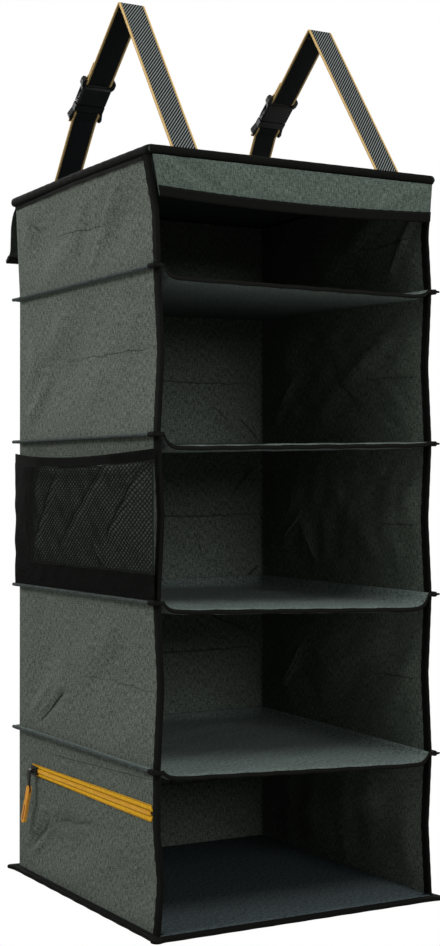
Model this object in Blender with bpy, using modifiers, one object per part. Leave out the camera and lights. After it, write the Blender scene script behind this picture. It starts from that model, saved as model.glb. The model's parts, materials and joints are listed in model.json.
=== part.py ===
"""Hanging tent organizer: five fabric compartments that hang from two buckled webbing straps.

Everything is modelled in the box frame: the base's underside is at z = 0, the box is centred on
x = y = 0, its open front faces -Y. One parent empty then moves that frame so that the world origin
is the hang point, midway between the folds of the two straps. Sizes are in metres, +Z is up.
"""
import math

import bmesh
import bpy
from mathutils import Vector

# Box
WIDTH = 0.300
DEPTH = 0.320
SHELF_LEVELS = (0.600, 0.450, 0.300, 0.150)
TOP_LEVEL = 0.6977
FABRIC = 0.0015
TAPE = 0.0007
CLEARANCE = 0.0003

# Shelves: a sleeve round a stiffener board, whose edge stands out as the seam ridge
SLAB = 0.0052
BOARD = 0.0030
BOARD_MARGIN = 0.012
BOARD_STATIONS = (-1.0, -0.8, -0.4, 0.0, 0.4, 0.8, 1.0)
BOARD_ROWS = (-0.3, 0.25, 0.7)
RIDGE = 0.005
SEAM_TURN = 0.0012
SHELF_SAG_LEFT = (0.0107, 0.0129, 0.0081, 0.0060)
SHELF_SAG_RIGHT = (0.0059, 0.0016, 0.0147, 0.0104)
SHELF_DROOP = (0.0065, 0.0050, 0.0019, 0.0072)
SAG_STEEPNESS = 30
FRONT_TAPE = 0.0010
FRONT_TAPE_OVERHANG = (0.003, 0.0085)
FRONT_TAPE_TIP = 0.3

# Top: the head overhangs the box and sits a little to the left
TOP_SHIFT = -0.005
RIM_HALF_WIDTH = WIDTH / 2.0 + 0.0080
RIM_HALF_DEPTH = DEPTH / 2.0 + 0.0046
RIM_HEIGHT = 0.0085
RIM_LIP = 0.0055
RIM_TAPE = 0.0012
RIM_CORNER = 0.006
RIM_CORNER_STEPS = 3
HEADER_HEIGHT = 0.036
HEADER_TAPE = 0.0095
HEADER_SAG = 0.004
HEADER_COLUMNS = 12
HEADER_ROWS = 3

# Base: a sleeve round a board, with a taped seam flange all round
BASE_SLAB = 0.0055
BASE_FLANGE = 0.0026
BASE_FLANGE_OUT = 0.005
BASE_BOARD_MARGIN = 0.006

# Folds of the hanging walls
CREASE = 0.0040
SWELL = 0.0016
FOLD_TURNS = 1.5
WALL_COLUMNS = 7
WALL_ROWS = 4
CORNER = 0.003
CORNER_FADE = 0.18

# Binding tape of the front edges
BINDING_DEPTH = 0.009
FRONT_SETBACK = 0.001

# Mesh pocket on the left wall of the third compartment
POCKET_SHELF_INDEX = 2
NET_COLUMNS = 12
NET_ROWS = 5
STRAND = 0.0013
NET_BULGE = 0.010
NET_END_SLOPE = 5.6
NET_STAND_OFF = 0.0032
BAND_TOP = 0.4375
BAND_HEIGHT = 0.0095
BAND_SAG = 0.006
LOWER_BORDER_TOP = 0.3255
REAR_BORDER = 0.040
BORDER_THICKNESS = 0.0011
BORDER_STEPS = 4

# Zip pocket in the left wall of the fifth compartment
ZIP_COMPARTMENT_INDEX = 5
ZIP_FRONT = -DEPTH / 2.0 + 0.0125
ZIP_REAR = DEPTH / 2.0 - 0.0430
ZIP_HEIGHT = 0.1118
ZIP_TAPE_WIDTH = 0.0075
ZIP_TAPE_THICKNESS = 0.0009
ZIP_WINDOW = 0.0135
ZIP_TAPE_END = 0.0025
CHAIN_WIDTH = 0.0036
CHAIN_THICKNESS = 0.0024
SLIDER_LENGTH = 0.0135
SLIDER_WIDTH = 0.0100
SLIDER_PLATE = 0.0011
SLIDER_BRIDGE = 0.0012
TAB_LENGTH = 0.0215
TAB_WIDTH = 0.0068
TAB_SHOULDER = 0.0054
TAB_WAIST = 0.0045
TAB_THICKNESS = 0.0014
PULLER_LENGTH = 0.0430
PULLER_WIDTH = 0.0074
PULLER_THICKNESS = 0.0030
PULLER_SWING = math.radians(22.0)
PULLER_GROOVE = 0.0008
PULLER_GROOVE_WIDTH = 0.0016
PULLER_NECK = 0.0129
PULLER_NECK_WIDTH = 0.0056
SLIDER_WAIST = 0.0080
SLIDER_BRIDGE_LENGTH = 0.0074
BAG_DEPTH = 0.0060
BAG_LOW = 0.0220
BAG_HIGH = 0.1290
BAG_FULLNESS = 1.6
BAG_FACES = 8
ZIP_FLAT_FROM = 0.62
CROWN_RADIUS = 0.0009
CROWN_POST = 0.0012
EYE_RADIUS = 0.0022
EYE_HALF_LENGTH = 0.0028
TAB_RING = 0.0030
PIVOT_RADIUS = 0.0010

# Storage flap behind the top
FLAP_HALF_WIDTH = WIDTH / 2.0 - 0.005
FLAP_SEAM_OUT = 0.0015
FLAP_REACH = 0.0270
FLAP_DROP = 0.0560
FLAP_FLARE = 0.0090
FLAP_TAPE = 0.0080
FLAP_HEM_TUCK = 0.0015
FLAP_FORM = ((0.42, 0.0), (0.80, 0.14), (1.0, 0.36), (0.97, 0.62))
FLAP_RIPPLE = 0.0035
FLAP_WAVES = 3.0
FLAP_COLUMNS = 12

# Straps and buckles
WEBBING_WIDTH = 0.027
WEBBING = 0.0014
STRAP_FOOT = 0.022
FOLD_RADIUS = 0.0030
APEX_RADIUS = 0.00135
SEWN_BACK = 0.019
SEWN_BULGE = 0.0065
THREADED_BACK = 0.0065
THREADED_SPREAD = 1.5
APEX_TAIL = 0.010
BUCKLE_LENGTH = 0.0495
BUCKLE_HALF_WIDTH = 0.018
BUCKLE_THICKNESS = 0.0090
BAR_RADIUS = 0.0014
BUCKLE_WALL = 0.0014
SOCKET_CHEEK = 0.0019
SOCKET_LENGTH = 0.0305
SOCKET_SHOULDER = 0.0085
SOCKET_STEP = 0.0022
SOCKET_EDGE = 0.0016
EAR_THICKNESS = 0.0065
EAR_SLOPE = 0.0018
EAR_CHAMFER = 0.0012
LATCH_FOOT = 0.0055
LATCH_LENGTH = 0.0120
CLIP_RAIL = 0.0034
CLIP_THICKNESS = 0.0070
PRONG_WIDTH = 0.0031
PRONG_NOSE = 0.0022
TONGUE_WIDTH = 0.0052


LEG_INSET = 0.0026


class Strap:
    """One hanging strap, seen from the side: where its fold, its buckle and its rear foot are.

    Points are (y, height over the top).
    """

    def __init__(self, side, centre_x, apex, buckle_top, buckle_bottom, foot_y):
        ground = TOP_LEVEL + CLEARANCE + RIM_HEIGHT - RIM_TAPE + WEBBING / 2.0
        self.side = side
        self.centre_x = centre_x
        self.front = (RIM_LIP + LEG_INSET - RIM_HALF_DEPTH, ground)
        self.apex = (apex[0], ground + apex[1])
        self.buckle_top = (buckle_top[0], ground + buckle_top[1])
        self.buckle_bottom = (buckle_bottom[0], ground + buckle_bottom[1])
        self.foot = (foot_y, ground)

    def tilt(self):
        """Angle about X that turns +Z to the direction up along the buckle."""
        rise = self.buckle_top[1] - self.buckle_bottom[1]
        run = self.buckle_bottom[0] - self.buckle_top[0]
        return math.atan2(run, rise)

    def at(self, outward, up):
        """Side-view point from the buckle's own axes: outward from the strap, up along it."""
        angle = self.tilt()
        y = self.buckle_top[0] + outward * math.cos(angle) - up * math.sin(angle)
        z = self.buckle_top[1] + outward * math.sin(angle) + up * math.cos(angle)
        return (y, z)


LEFT_STRAP_X = -WIDTH / 2.0 + 0.028
RIGHT_STRAP_X = WIDTH / 2.0 - 0.050
LEFT_FOOT_Y = DEPTH / 2.0 - 0.052
RIGHT_FOOT_Y = DEPTH / 2.0 - 0.048
STRAPS = (
    Strap("left", LEFT_STRAP_X, (-0.049, 0.1580), (0.0210, 0.1006), (0.0586, 0.0684), LEFT_FOOT_Y),
    Strap("right", RIGHT_STRAP_X, (-0.037, 0.1650), (0.0330, 0.1100), (0.0720, 0.0785), RIGHT_FOOT_Y),
)
HANG_DROP = 0.0025
HANG_POINT = (
    0.0,
    (STRAPS[0].apex[0] + STRAPS[1].apex[0]) / 2.0,
    (STRAPS[0].apex[1] + STRAPS[1].apex[1]) / 2.0 - HANG_DROP,
)

COLOURS = {
    "wall": (0.094, 0.112, 0.096),
    "inside": (0.030, 0.036, 0.031),
    "shelf": (0.040, 0.050, 0.043),
    "board": (0.060, 0.058, 0.052),
    "binding": (0.006, 0.006, 0.006),
    "webbing": (0.050, 0.055, 0.054),
    "buckle": (0.005, 0.005, 0.005),
    "mesh": (0.012, 0.013, 0.013),
    "zip": (0.640, 0.330, 0.010),
    "puller": (0.660, 0.300, 0.020),
}


def clear_scene():
    """Remove every object, so that the model starts from nothing."""
    for item in list(bpy.data.objects):
        bpy.data.objects.remove(item, do_unlink=True)


def make_collection(name):
    group = bpy.data.collections.new(name)
    bpy.context.scene.collection.children.link(group)
    return group


def make_material(name, colour, roughness, metallic=0.0):
    material = bpy.data.materials.new(name)
    material.use_nodes = True
    shader = material.node_tree.nodes["Principled BSDF"]
    shader.inputs["Base Color"].default_value = (*colour, 1.0)
    shader.inputs["Roughness"].default_value = roughness
    shader.inputs["Metallic"].default_value = metallic
    material.diffuse_color = (*colour, 1.0)
    return material


def add_object(name, bm, look, roughness=0.85, origin=(0.0, 0.0, 0.0), parent=None, group=None):
    """Make a named object with its own material from a bmesh given in its parent's axes."""
    bmesh.ops.translate(bm, verts=bm.verts, vec=-Vector(origin))
    mesh = bpy.data.meshes.new(name)
    bm.to_mesh(mesh)
    bm.free()
    item = bpy.data.objects.new(name, mesh)
    (group or PARTS).objects.link(item)
    item.parent = parent or BOX
    item.location = origin
    mesh.materials.append(make_material(name, COLOURS[look], roughness))
    return item


def add_cutter(name, bm, parent=None):
    cutter = add_object(name, bm, "inside", parent=parent, group=CUTTERS)
    cutter.hide_render = True
    cutter.display_type = "WIRE"
    return cutter


def cut(item, cutter):
    modifier = item.modifiers.new("cut_" + cutter.name, "BOOLEAN")
    modifier.operation = "DIFFERENCE"
    modifier.object = cutter


def join(item, other):
    modifier = item.modifiers.new("join_" + other.name, "BOOLEAN")
    modifier.operation = "UNION"
    modifier.object = other


def thicken(item, thickness):
    modifier = item.modifiers.new("thickness", "SOLIDIFY")
    modifier.thickness = thickness
    modifier.offset = 0.0
    modifier.use_even_offset = True


def round_edges(item, width, segments=1):
    modifier = item.modifiers.new("rounded", "BEVEL")
    modifier.width = width
    modifier.segments = segments
    modifier.limit_method = "ANGLE"
    modifier.angle_limit = math.radians(50.0)


def box(low, high):
    """A box from its low corner to its high corner."""
    bm = bmesh.new()
    bmesh.ops.create_cube(bm, size=1.0)
    low = Vector(low)
    high = Vector(high)
    bmesh.ops.scale(bm, verts=bm.verts, vec=high - low)
    bmesh.ops.translate(bm, verts=bm.verts, vec=(low + high) / 2.0)
    return bm


def slab_box(low, high, radius, segments):
    """A box with rounded upright edges."""
    bm = box(low, high)
    half = (high[2] - low[2]) / 2.0
    uprights = [edge for edge in bm.edges if abs(edge.verts[0].co.z - edge.verts[1].co.z) > half]
    bmesh.ops.bevel(bm, geom=uprights, offset=radius, segments=segments, affect="EDGES", profile=0.5)
    return bm


def sheet(columns, rows, place):
    """A grid of columns x rows faces, laid by place(u, v) with u and v from 0 to 1."""
    bm = bmesh.new()
    bmesh.ops.create_grid(bm, x_segments=columns, y_segments=rows, size=0.5)
    for vert in bm.verts:
        vert.co = place(vert.co.x + 0.5, vert.co.y + 0.5)
    bmesh.ops.triangulate(bm, faces=bm.faces, quad_method="FIXED")
    return bm


def lines(values):
    """A function that reads the value at each grid line from its fraction of the way."""
    count = len(values) - 1

    def value_at(fraction):
        return values[round(fraction * count)]

    return value_at


def blend(low, high, fraction):
    return low + (high - low) * fraction


def rod(start, end, radius, sides=10):
    """A closed round bar between two points."""
    bm = bmesh.new()
    start = Vector(start)
    end = Vector(end)
    along = end - start
    bmesh.ops.create_cone(bm, cap_ends=True, segments=sides, radius1=radius, radius2=radius, depth=along.length)
    turn = Vector((0.0, 0.0, 1.0)).rotation_difference(along)
    bmesh.ops.rotate(bm, verts=bm.verts, cent=(0.0, 0.0, 0.0), matrix=turn.to_matrix())
    bmesh.ops.translate(bm, verts=bm.verts, vec=(start + end) / 2.0)
    return bm


def arc(centre, radius, start, end, steps):
    """Side-view points on an arc, angles in degrees from +Y towards +Z."""
    points = []
    for step in range(steps + 1):
        angle = math.radians(blend(start, end, step / steps))
        points.append((centre[0] + radius * math.cos(angle), centre[1] + radius * math.sin(angle)))
    return points


def plate(outline, low, high, across="Y"):
    """A flat plate from an outline of (sideways, z) points, thick along X or Y."""
    bm = bmesh.new()
    if across == "Y":
        corners = [(side, low, z) for side, z in outline]
        push = (0.0, high - low, 0.0)
    else:
        corners = [(low, side, z) for side, z in outline]
        push = (high - low, 0.0, 0.0)
    face = bm.faces.new([bm.verts.new(corner) for corner in corners])
    grown = bmesh.ops.extrude_face_region(bm, geom=[face])
    moved = [part for part in grown["geom"] if isinstance(part, bmesh.types.BMVert)]
    bmesh.ops.translate(bm, verts=moved, vec=push)
    bmesh.ops.recalc_face_normals(bm, faces=bm.faces)
    return bm


def fillet(points, radius, steps=4):
    """A side-view path whose corners are rounded to a radius."""
    path = [Vector(points[0])]
    for before, corner, after in zip(points, points[1:], points[2:]):
        corner = Vector(corner)
        inward = (corner - Vector(before)).normalized()
        onward = (Vector(after) - corner).normalized()
        turn = inward.angle_signed(onward)
        centre = corner + (onward - inward).normalized() * (radius / math.cos(turn / 2.0))
        spoke = corner - inward * (radius * math.tan(abs(turn) / 2.0)) - centre
        for step in range(steps + 1):
            angle = -turn * step / steps
            cosine = math.cos(angle)
            sine = math.sin(angle)
            path.append(centre + Vector((spoke.x * cosine - spoke.y * sine, spoke.x * sine + spoke.y * cosine)))
    path.append(Vector(points[-1]))
    return path


# Where the walls meet the slabs

def level_height(level, x=0.0, y=0.0):
    """Height of the middle of a seam level: 0 is the top, 1 to 4 the shelves, 5 the base."""
    if level == 0:
        return TOP_LEVEL
    if level == len(SHELF_LEVELS) + 1:
        return BASE_SLAB
    across = min(max((x + WIDTH / 2.0) / WIDTH, 0.0), 1.0)
    forward = min(max((DEPTH / 2.0 - y) / DEPTH, 0.0), 1.0)
    return SHELF_LEVELS[level - 1] - SHELF_DROOP[level - 1] * across * forward


def wall_top(level, x, y):
    """Upper end of a wall that hangs from this level."""
    half = SLAB / 2.0 if level > 0 else 0.0
    return level_height(level, x, y) - half - CLEARANCE


def wall_bottom(level, x, y):
    """Lower end of a wall that is sewn to this level."""
    half = SLAB / 2.0 if level <= len(SHELF_LEVELS) else 0.0
    return level_height(level, x, y) + half + CLEARANCE


def side_middle(level, side):
    """X of the middle of a side wall at a level, side -1 for the left and 1 for the right."""
    if level == 0:
        return TOP_SHIFT + side * (RIM_HALF_WIDTH - RIM_LIP / 2.0)
    return side * (WIDTH - FABRIC) / 2.0


def back_middle(level):
    if level == 0:
        return RIM_HALF_DEPTH - RIM_LIP / 2.0
    return (DEPTH - FABRIC) / 2.0


def slack(compartment, wall, along, up):
    """How far a wall is drawn inwards: the crease at half height and the soft folds beside it."""
    if wall == "left" and compartment == ZIP_COMPARTMENT_INDEX:
        up = up / ZIP_FLAT_FROM
        if up >= 1.0:
            return 0.0
    fade = min((1.0 - along) / CORNER_FADE, 1.0)
    if wall == "back":
        fade = min(along / CORNER_FADE, fade)
    crease = CREASE * (1.0 - abs(2.0 * up - 1.0))
    phase = compartment * 1.9 + {"left": 0.0, "right": 2.4, "back": 4.1}[wall]
    ripple = math.cos(math.tau * FOLD_TURNS * (along + 0.6 * up) + phase)
    belly = SWELL * ripple * math.sin(math.pi * up) * min(along / CORNER_FADE, 1.0)
    return fade * (crease + belly)


def side_point(compartment, side, along, up, y, outward=0.0):
    """Point on a side wall's middle, moved outward; along runs from the front to the rear."""
    upper = compartment - 1
    x = blend(side_middle(compartment, side), side_middle(upper, side), up)
    wall = "left" if side < 0 else "right"
    inward = slack(compartment, wall, along, up)
    height = blend(wall_bottom(compartment, x, y), wall_top(upper, x, y), up)
    return Vector((x + side * (outward - inward), y, height))


def back_point(compartment, along, up):
    """Point on the back wall's middle; along runs from the left corner to the right one."""
    upper = compartment - 1
    left = blend(side_middle(compartment, -1), side_middle(upper, -1), up) + CORNER
    right = blend(side_middle(compartment, 1), side_middle(upper, 1), up) - CORNER
    y = blend(back_middle(compartment), back_middle(upper), up)
    x = blend(left, right, along)
    height = blend(wall_bottom(compartment, x, y), wall_top(upper, x, y), up)
    return Vector((x, y - slack(compartment, "back", along, up), height))


def wall_heights(compartment):
    """Fractions of a compartment's height where its wall folds."""
    folds = [row / WALL_ROWS for row in range(WALL_ROWS + 1)]
    if compartment == ZIP_COMPARTMENT_INDEX:
        folds = [fold * ZIP_FLAT_FROM for fold in folds] + [1.0]
    return folds


def make_wall(compartment):
    """One strip of cloth sewn round the left side, the back and the right side of a compartment."""
    steps = [step / WALL_COLUMNS for step in range(WALL_COLUMNS + 1)]
    stations = [("left", step) for step in steps]
    stations += [("back", step) for step in steps]
    stations += [("right", step) for step in reversed(steps)]
    station_at = lines(stations)
    height_at = lines(wall_heights(compartment))

    def place(u, v):
        wall, along = station_at(u)
        up = height_at(v)
        if wall == "back":
            return back_point(compartment, along, up)
        upper = compartment - 1
        rear = blend(back_middle(compartment), back_middle(upper), up) - CORNER
        y = blend(-DEPTH / 2.0 + FRONT_SETBACK, rear, along)
        return side_point(compartment, -1 if wall == "left" else 1, along, up, y)

    rows = len(wall_heights(compartment)) - 1
    cloth = add_object("wall_" + str(compartment), sheet(len(stations) - 1, rows, place), "wall")
    thicken(cloth, FABRIC)


def make_edge_binding(compartment, side):
    """Tape folded round the front edge of one side of a wall."""
    reach = FABRIC / 2.0 + CLEARANCE + TAPE / 2.0
    front = -DEPTH / 2.0 + FRONT_SETBACK - CLEARANCE - TAPE / 2.0
    rear = front + BINDING_DEPTH
    fold = lines(((rear, reach), (front, reach), (front, -reach), (rear, -reach)))
    heights = wall_heights(compartment)
    height_at = lines(heights)

    def place(u, v):
        y, outward = fold(u)
        return side_point(compartment, side, 0.0, height_at(v), y, outward)

    name = ("left" if side < 0 else "right") + "_edge_binding_" + str(compartment)
    binding = add_object(name, sheet(3, len(heights) - 1, place), "binding")
    thicken(binding, TAPE)


# Shelves

def seam_line():
    """Half width and half depth inside the walls and their tapes, where the shelves' sag begins."""
    inset = FABRIC + TAPE + 3.0 * CLEARANCE + SEAM_TURN
    return (WIDTH / 2.0 - inset, DEPTH / 2.0 - inset)


def shelf_middle(level, x, y):
    """Height of the middle of a shelf, which hangs below its seams like a shallow, tilted tray."""
    seam_x, seam_y = seam_line()
    rightward = min(max((x + WIDTH / 2.0) / WIDTH, 0.0), 1.0)
    sag = blend(SHELF_SAG_LEFT[level - 1], SHELF_SAG_RIGHT[level - 1], rightward)
    across = 1.0 - min(abs(x) / seam_x, 1.0) ** SAG_STEEPNESS
    rearward = min(max(y / seam_y, 0.0), 1.0)
    lengthwise = 1.0 - rearward ** SAG_STEEPNESS
    return level_height(level, x, y) - sag * across * lengthwise


def slab(level, columns, rows):
    """A grid over the given X and Y lines that follows the shelf's middle."""
    x_at = lines(columns)
    y_at = lines(rows)

    def place(u, v):
        return Vector((x_at(u), y_at(v), shelf_middle(level, x_at(u), y_at(v))))

    return sheet(len(columns) - 1, len(rows) - 1, place)


def make_shelf(level):
    name = str(level)
    seam_x, seam_y = seam_line()
    outer_x = WIDTH / 2.0 + RIDGE
    outer_y = DEPTH / 2.0 + RIDGE
    board_x = seam_x - BOARD_MARGIN
    board_front = -DEPTH / 2.0 + BOARD_MARGIN / 2.0
    board_rear = seam_y - BOARD_MARGIN
    inner = tuple(board_x * share for share in BOARD_STATIONS)
    middle_rows = tuple(board_rear * share for share in BOARD_ROWS)

    columns = (-outer_x, -seam_x) + inner + (seam_x, outer_x)
    rows = (-DEPTH / 2.0,) + middle_rows + (board_rear, seam_y, outer_y)
    cover = add_object("shelf_cover_" + name, slab(level, columns, rows), "shelf")
    thicken(cover, SLAB)

    pocket = CLEARANCE + BOARD
    wide = (-board_x - CLEARANCE,) + inner[1:-1] + (board_x + CLEARANCE,)
    pocket_rows = (board_front - CLEARANCE,) + middle_rows + (board_rear, seam_y, outer_y + RIDGE)
    slot = add_cutter("shelf_slot_" + name, slab(level, wide, pocket_rows))
    thicken(slot, pocket + CLEARANCE)
    cut(cover, slot)

    board_rows = (board_front,) + middle_rows + (board_rear,)
    board = add_object("shelf_board_" + name, slab(level, inner, board_rows), "board", 0.6)
    thicken(board, BOARD)

    left = -WIDTH / 2.0 - FRONT_TAPE_OVERHANG[0]
    right = WIDTH / 2.0 + FRONT_TAPE_OVERHANG[1]
    stations = (left, -seam_x) + inner + (seam_x, right)
    x_at = lines(stations)
    front = -DEPTH / 2.0 - CLEARANCE - FRONT_TAPE / 2.0

    def place(u, v):
        x = x_at(u)
        taper = FRONT_TAPE_TIP if u in (0.0, 1.0) else 1.0
        height = shelf_middle(level, min(max(x, -seam_x), seam_x), -DEPTH / 2.0)
        return Vector((x, front, height + (v - 0.5) * SLAB * taper))

    tape = add_object("shelf_binding_" + name, sheet(len(stations) - 1, 1, place), "binding")
    thicken(tape, FRONT_TAPE)


# Top

def ring_sheet(profile, half, centre_x, middle_z, corner, corner_steps):
    """A folded tape round a rectangle, mitred where corner_steps is 0.

    The profile gives (outward, up) from the rectangle's edge.
    """
    half_x, half_y = half
    loop = []
    for sign_x, sign_y, start in ((1, 1, 0.0), (-1, 1, 90.0), (-1, -1, 180.0), (1, -1, 270.0)):
        hub = (centre_x + sign_x * (half_x - corner), sign_y * (half_y - corner))
        if corner_steps == 0:
            loop.append((hub, (sign_x, sign_y)))
            continue
        for step in range(corner_steps + 1):
            angle = math.radians(start + 90.0 * step / corner_steps)
            loop.append((hub, (math.cos(angle), math.sin(angle))))
    loop.append(loop[0])
    hub_at = lines(loop)
    profile_at = lines(profile)

    def place(u, v):
        hub, direction = hub_at(u)
        outward, up = profile_at(v)
        reach = corner + outward
        return Vector((hub[0] + direction[0] * reach, hub[1] + direction[1] * reach, middle_z + up))

    bm = sheet(len(loop) - 1, len(profile) - 1, place)
    bmesh.ops.remove_doubles(bm, verts=bm.verts, dist=0.00001)
    return bm


def make_top():
    middle = TOP_LEVEL + CLEARANCE + RIM_HEIGHT / 2.0
    slab_height = RIM_HEIGHT - 2.0 * (RIM_TAPE + CLEARANCE)
    cover_x = RIM_HALF_WIDTH - RIM_TAPE - CLEARANCE
    cover_y = RIM_HALF_DEPTH - RIM_TAPE - CLEARANCE
    low = (TOP_SHIFT - cover_x, -cover_y, middle - slab_height / 2.0)
    high = (TOP_SHIFT + cover_x, cover_y, middle + slab_height / 2.0)
    cover_corner = RIM_CORNER - RIM_TAPE - CLEARANCE
    cover = add_object("top_cover", slab_box(low, high, cover_corner, RIM_CORNER_STEPS), "shelf")
    board_x = cover_x - BOARD_MARGIN
    board_y = cover_y - BOARD_MARGIN
    half_slot = BOARD / 2.0 + CLEARANCE
    slot_low = (TOP_SHIFT - board_x - CLEARANCE, -board_y - CLEARANCE, middle - half_slot)
    slot_high = (TOP_SHIFT + board_x + CLEARANCE, cover_y + RIM_LIP, middle + half_slot)
    cut(cover, add_cutter("top_slot", box(slot_low, slot_high)))
    board_low = (TOP_SHIFT - board_x, -board_y, middle - BOARD / 2.0)
    board_high = (TOP_SHIFT + board_x, board_y, middle + BOARD / 2.0)
    add_object("top_board", box(board_low, board_high), "board", 0.6)

    half_tape = RIM_TAPE / 2.0
    half_height = RIM_HEIGHT / 2.0 - half_tape
    over = ((-RIM_LIP, half_height), (-half_tape, half_height))
    under = ((-half_tape, -half_height), (-RIM_LIP, -half_height))
    half = (RIM_HALF_WIDTH, RIM_HALF_DEPTH)
    ring = ring_sheet(over + under, half, TOP_SHIFT, middle, RIM_CORNER, RIM_CORNER_STEPS)
    rim = add_object("top_rim", ring, "binding")
    thicken(rim, RIM_TAPE)


def header_sag(fraction):
    return HEADER_SAG * (1.0 - (2.0 * fraction - 1.0) ** 2)


def header_point(fraction, height, y):
    """A point on the header, whose ends follow the slanting front edges."""
    upper = TOP_LEVEL
    lower = SHELF_LEVELS[0]
    up = (height - lower) / (upper - lower)
    inset = FABRIC / 2.0 + 2.0 * CLEARANCE + TAPE
    left = blend(side_middle(1, -1), side_middle(0, -1), up) + slack(1, "left", 0.0, up) + inset
    right = blend(side_middle(1, 1), side_middle(0, 1), up) - slack(1, "right", 0.0, up) - inset
    return Vector((blend(left, right, fraction), y, height))


def make_header():
    """The strip across the front of the first compartment, with its taped lower edge."""
    top = TOP_LEVEL - CLEARANCE
    reach = FABRIC / 2.0 + CLEARANCE + TAPE / 2.0
    y_middle = -DEPTH / 2.0 - FRONT_TAPE - 2.0 * CLEARANCE - reach - TAPE / 2.0

    def place(u, v):
        low = top - HEADER_HEIGHT - header_sag(1.0 - u)
        return header_point(u, blend(low, top, v), y_middle)

    header = add_object("header_panel", sheet(HEADER_COLUMNS, HEADER_ROWS, place), "wall")
    thicken(header, FABRIC)

    below = -CLEARANCE - TAPE / 2.0
    fold = lines(((reach, HEADER_TAPE), (reach, 0.0), (-reach, 0.0), (-reach, HEADER_TAPE)))

    def place_tape(u, v):
        offset, rise = fold(v)
        low = top - HEADER_HEIGHT - header_sag(1.0 - u) + below
        return header_point(u, low + rise, y_middle + offset)

    tape = add_object("header_binding", sheet(HEADER_COLUMNS, 3, place_tape), "binding")
    thicken(tape, TAPE)


# Base

def make_base():
    inner_x = WIDTH / 2.0
    inner_y = DEPTH / 2.0
    outer_x = inner_x + BASE_FLANGE_OUT
    outer_y = inner_y + BASE_FLANGE_OUT
    middle = BASE_SLAB / 2.0
    cover = add_object("base_cover", box((-inner_x, -inner_y, 0.0), (inner_x, inner_y, BASE_SLAB)), "shelf")
    flange_low = (-outer_x, -outer_y, middle - BASE_FLANGE / 2.0)
    flange_high = (outer_x, outer_y, middle + BASE_FLANGE / 2.0)
    join(cover, add_cutter("base_flange", box(flange_low, flange_high)))
    board_x = inner_x - BASE_BOARD_MARGIN
    board_y = inner_y - BASE_BOARD_MARGIN
    half_slot = BOARD / 2.0 + CLEARANCE
    slot_low = (-board_x - CLEARANCE, -board_y - CLEARANCE, middle - half_slot)
    slot_high = (board_x + CLEARANCE, board_y + CLEARANCE, middle + half_slot)
    cut(cover, add_cutter("base_slot", box(slot_low, slot_high)))
    mouth_low = (-board_x, board_y - RIDGE, middle - BASE_FLANGE / 2.0 + CLEARANCE)
    mouth_high = (board_x, outer_y + RIDGE, middle + BASE_FLANGE / 2.0 - CLEARANCE)
    cut(cover, add_cutter("base_mouth", box(mouth_low, mouth_high)))
    board_low = (-board_x, -board_y, middle - BOARD / 2.0)
    board_high = (board_x, board_y, middle + BOARD / 2.0)
    add_object("base_board", box(board_low, board_high), "board", 0.6)

    half_tape = TAPE / 2.0
    up = BASE_FLANGE / 2.0 + CLEARANCE + half_tape
    out = CLEARANCE + half_tape
    inside = -BASE_FLANGE_OUT + CLEARANCE
    profile = ((inside, up), (out, up), (out, -up), (inside, -up))
    ring = ring_sheet(profile, (outer_x, outer_y), 0.0, middle, 0.0, 0)
    binding = add_object("base_binding", ring, "binding")
    thicken(binding, TAPE)


# Mesh pocket

def pocket_y(along):
    return blend(-DEPTH / 2.0 + BINDING_DEPTH / 3.0, DEPTH / 2.0, along)


def pocket_x(y, z):
    """X of the pocket's middle: sewn down at its ends and foot, slack towards its mouth."""
    foot = SHELF_LEVELS[POCKET_SHELF_INDEX]
    up = min(max((z - foot) / (BAND_TOP - foot), 0.0), 1.0)
    along = min(max((y + DEPTH / 2.0) / DEPTH, 0.0), 1.0)
    ends = min(1.0, NET_END_SLOPE * along * (1.0 - along))
    return -WIDTH / 2.0 - NET_STAND_OFF - NET_BULGE * math.sin(0.5 * math.pi * up) * ends


def band_low(y):
    along = (y + DEPTH / 2.0) / DEPTH
    return BAND_TOP - BAND_HEIGHT - BAND_SAG * 4.0 * along * (1.0 - along)


def net_lattice(place):
    """Diamonds: a grid with each face poked, and the grid's own inner edges dissolved."""
    bm = bmesh.new()
    bmesh.ops.create_grid(bm, x_segments=NET_COLUMNS, y_segments=NET_ROWS, size=0.5)
    grid_edges = [edge for edge in bm.edges if len(edge.link_faces) == 2]
    bmesh.ops.poke(bm, faces=bm.faces)
    bmesh.ops.dissolve_edges(bm, edges=grid_edges, use_verts=False)
    for vert in bm.verts:
        vert.co = place(vert.co.x + 0.5, vert.co.y + 0.5)
    return bm


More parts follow.
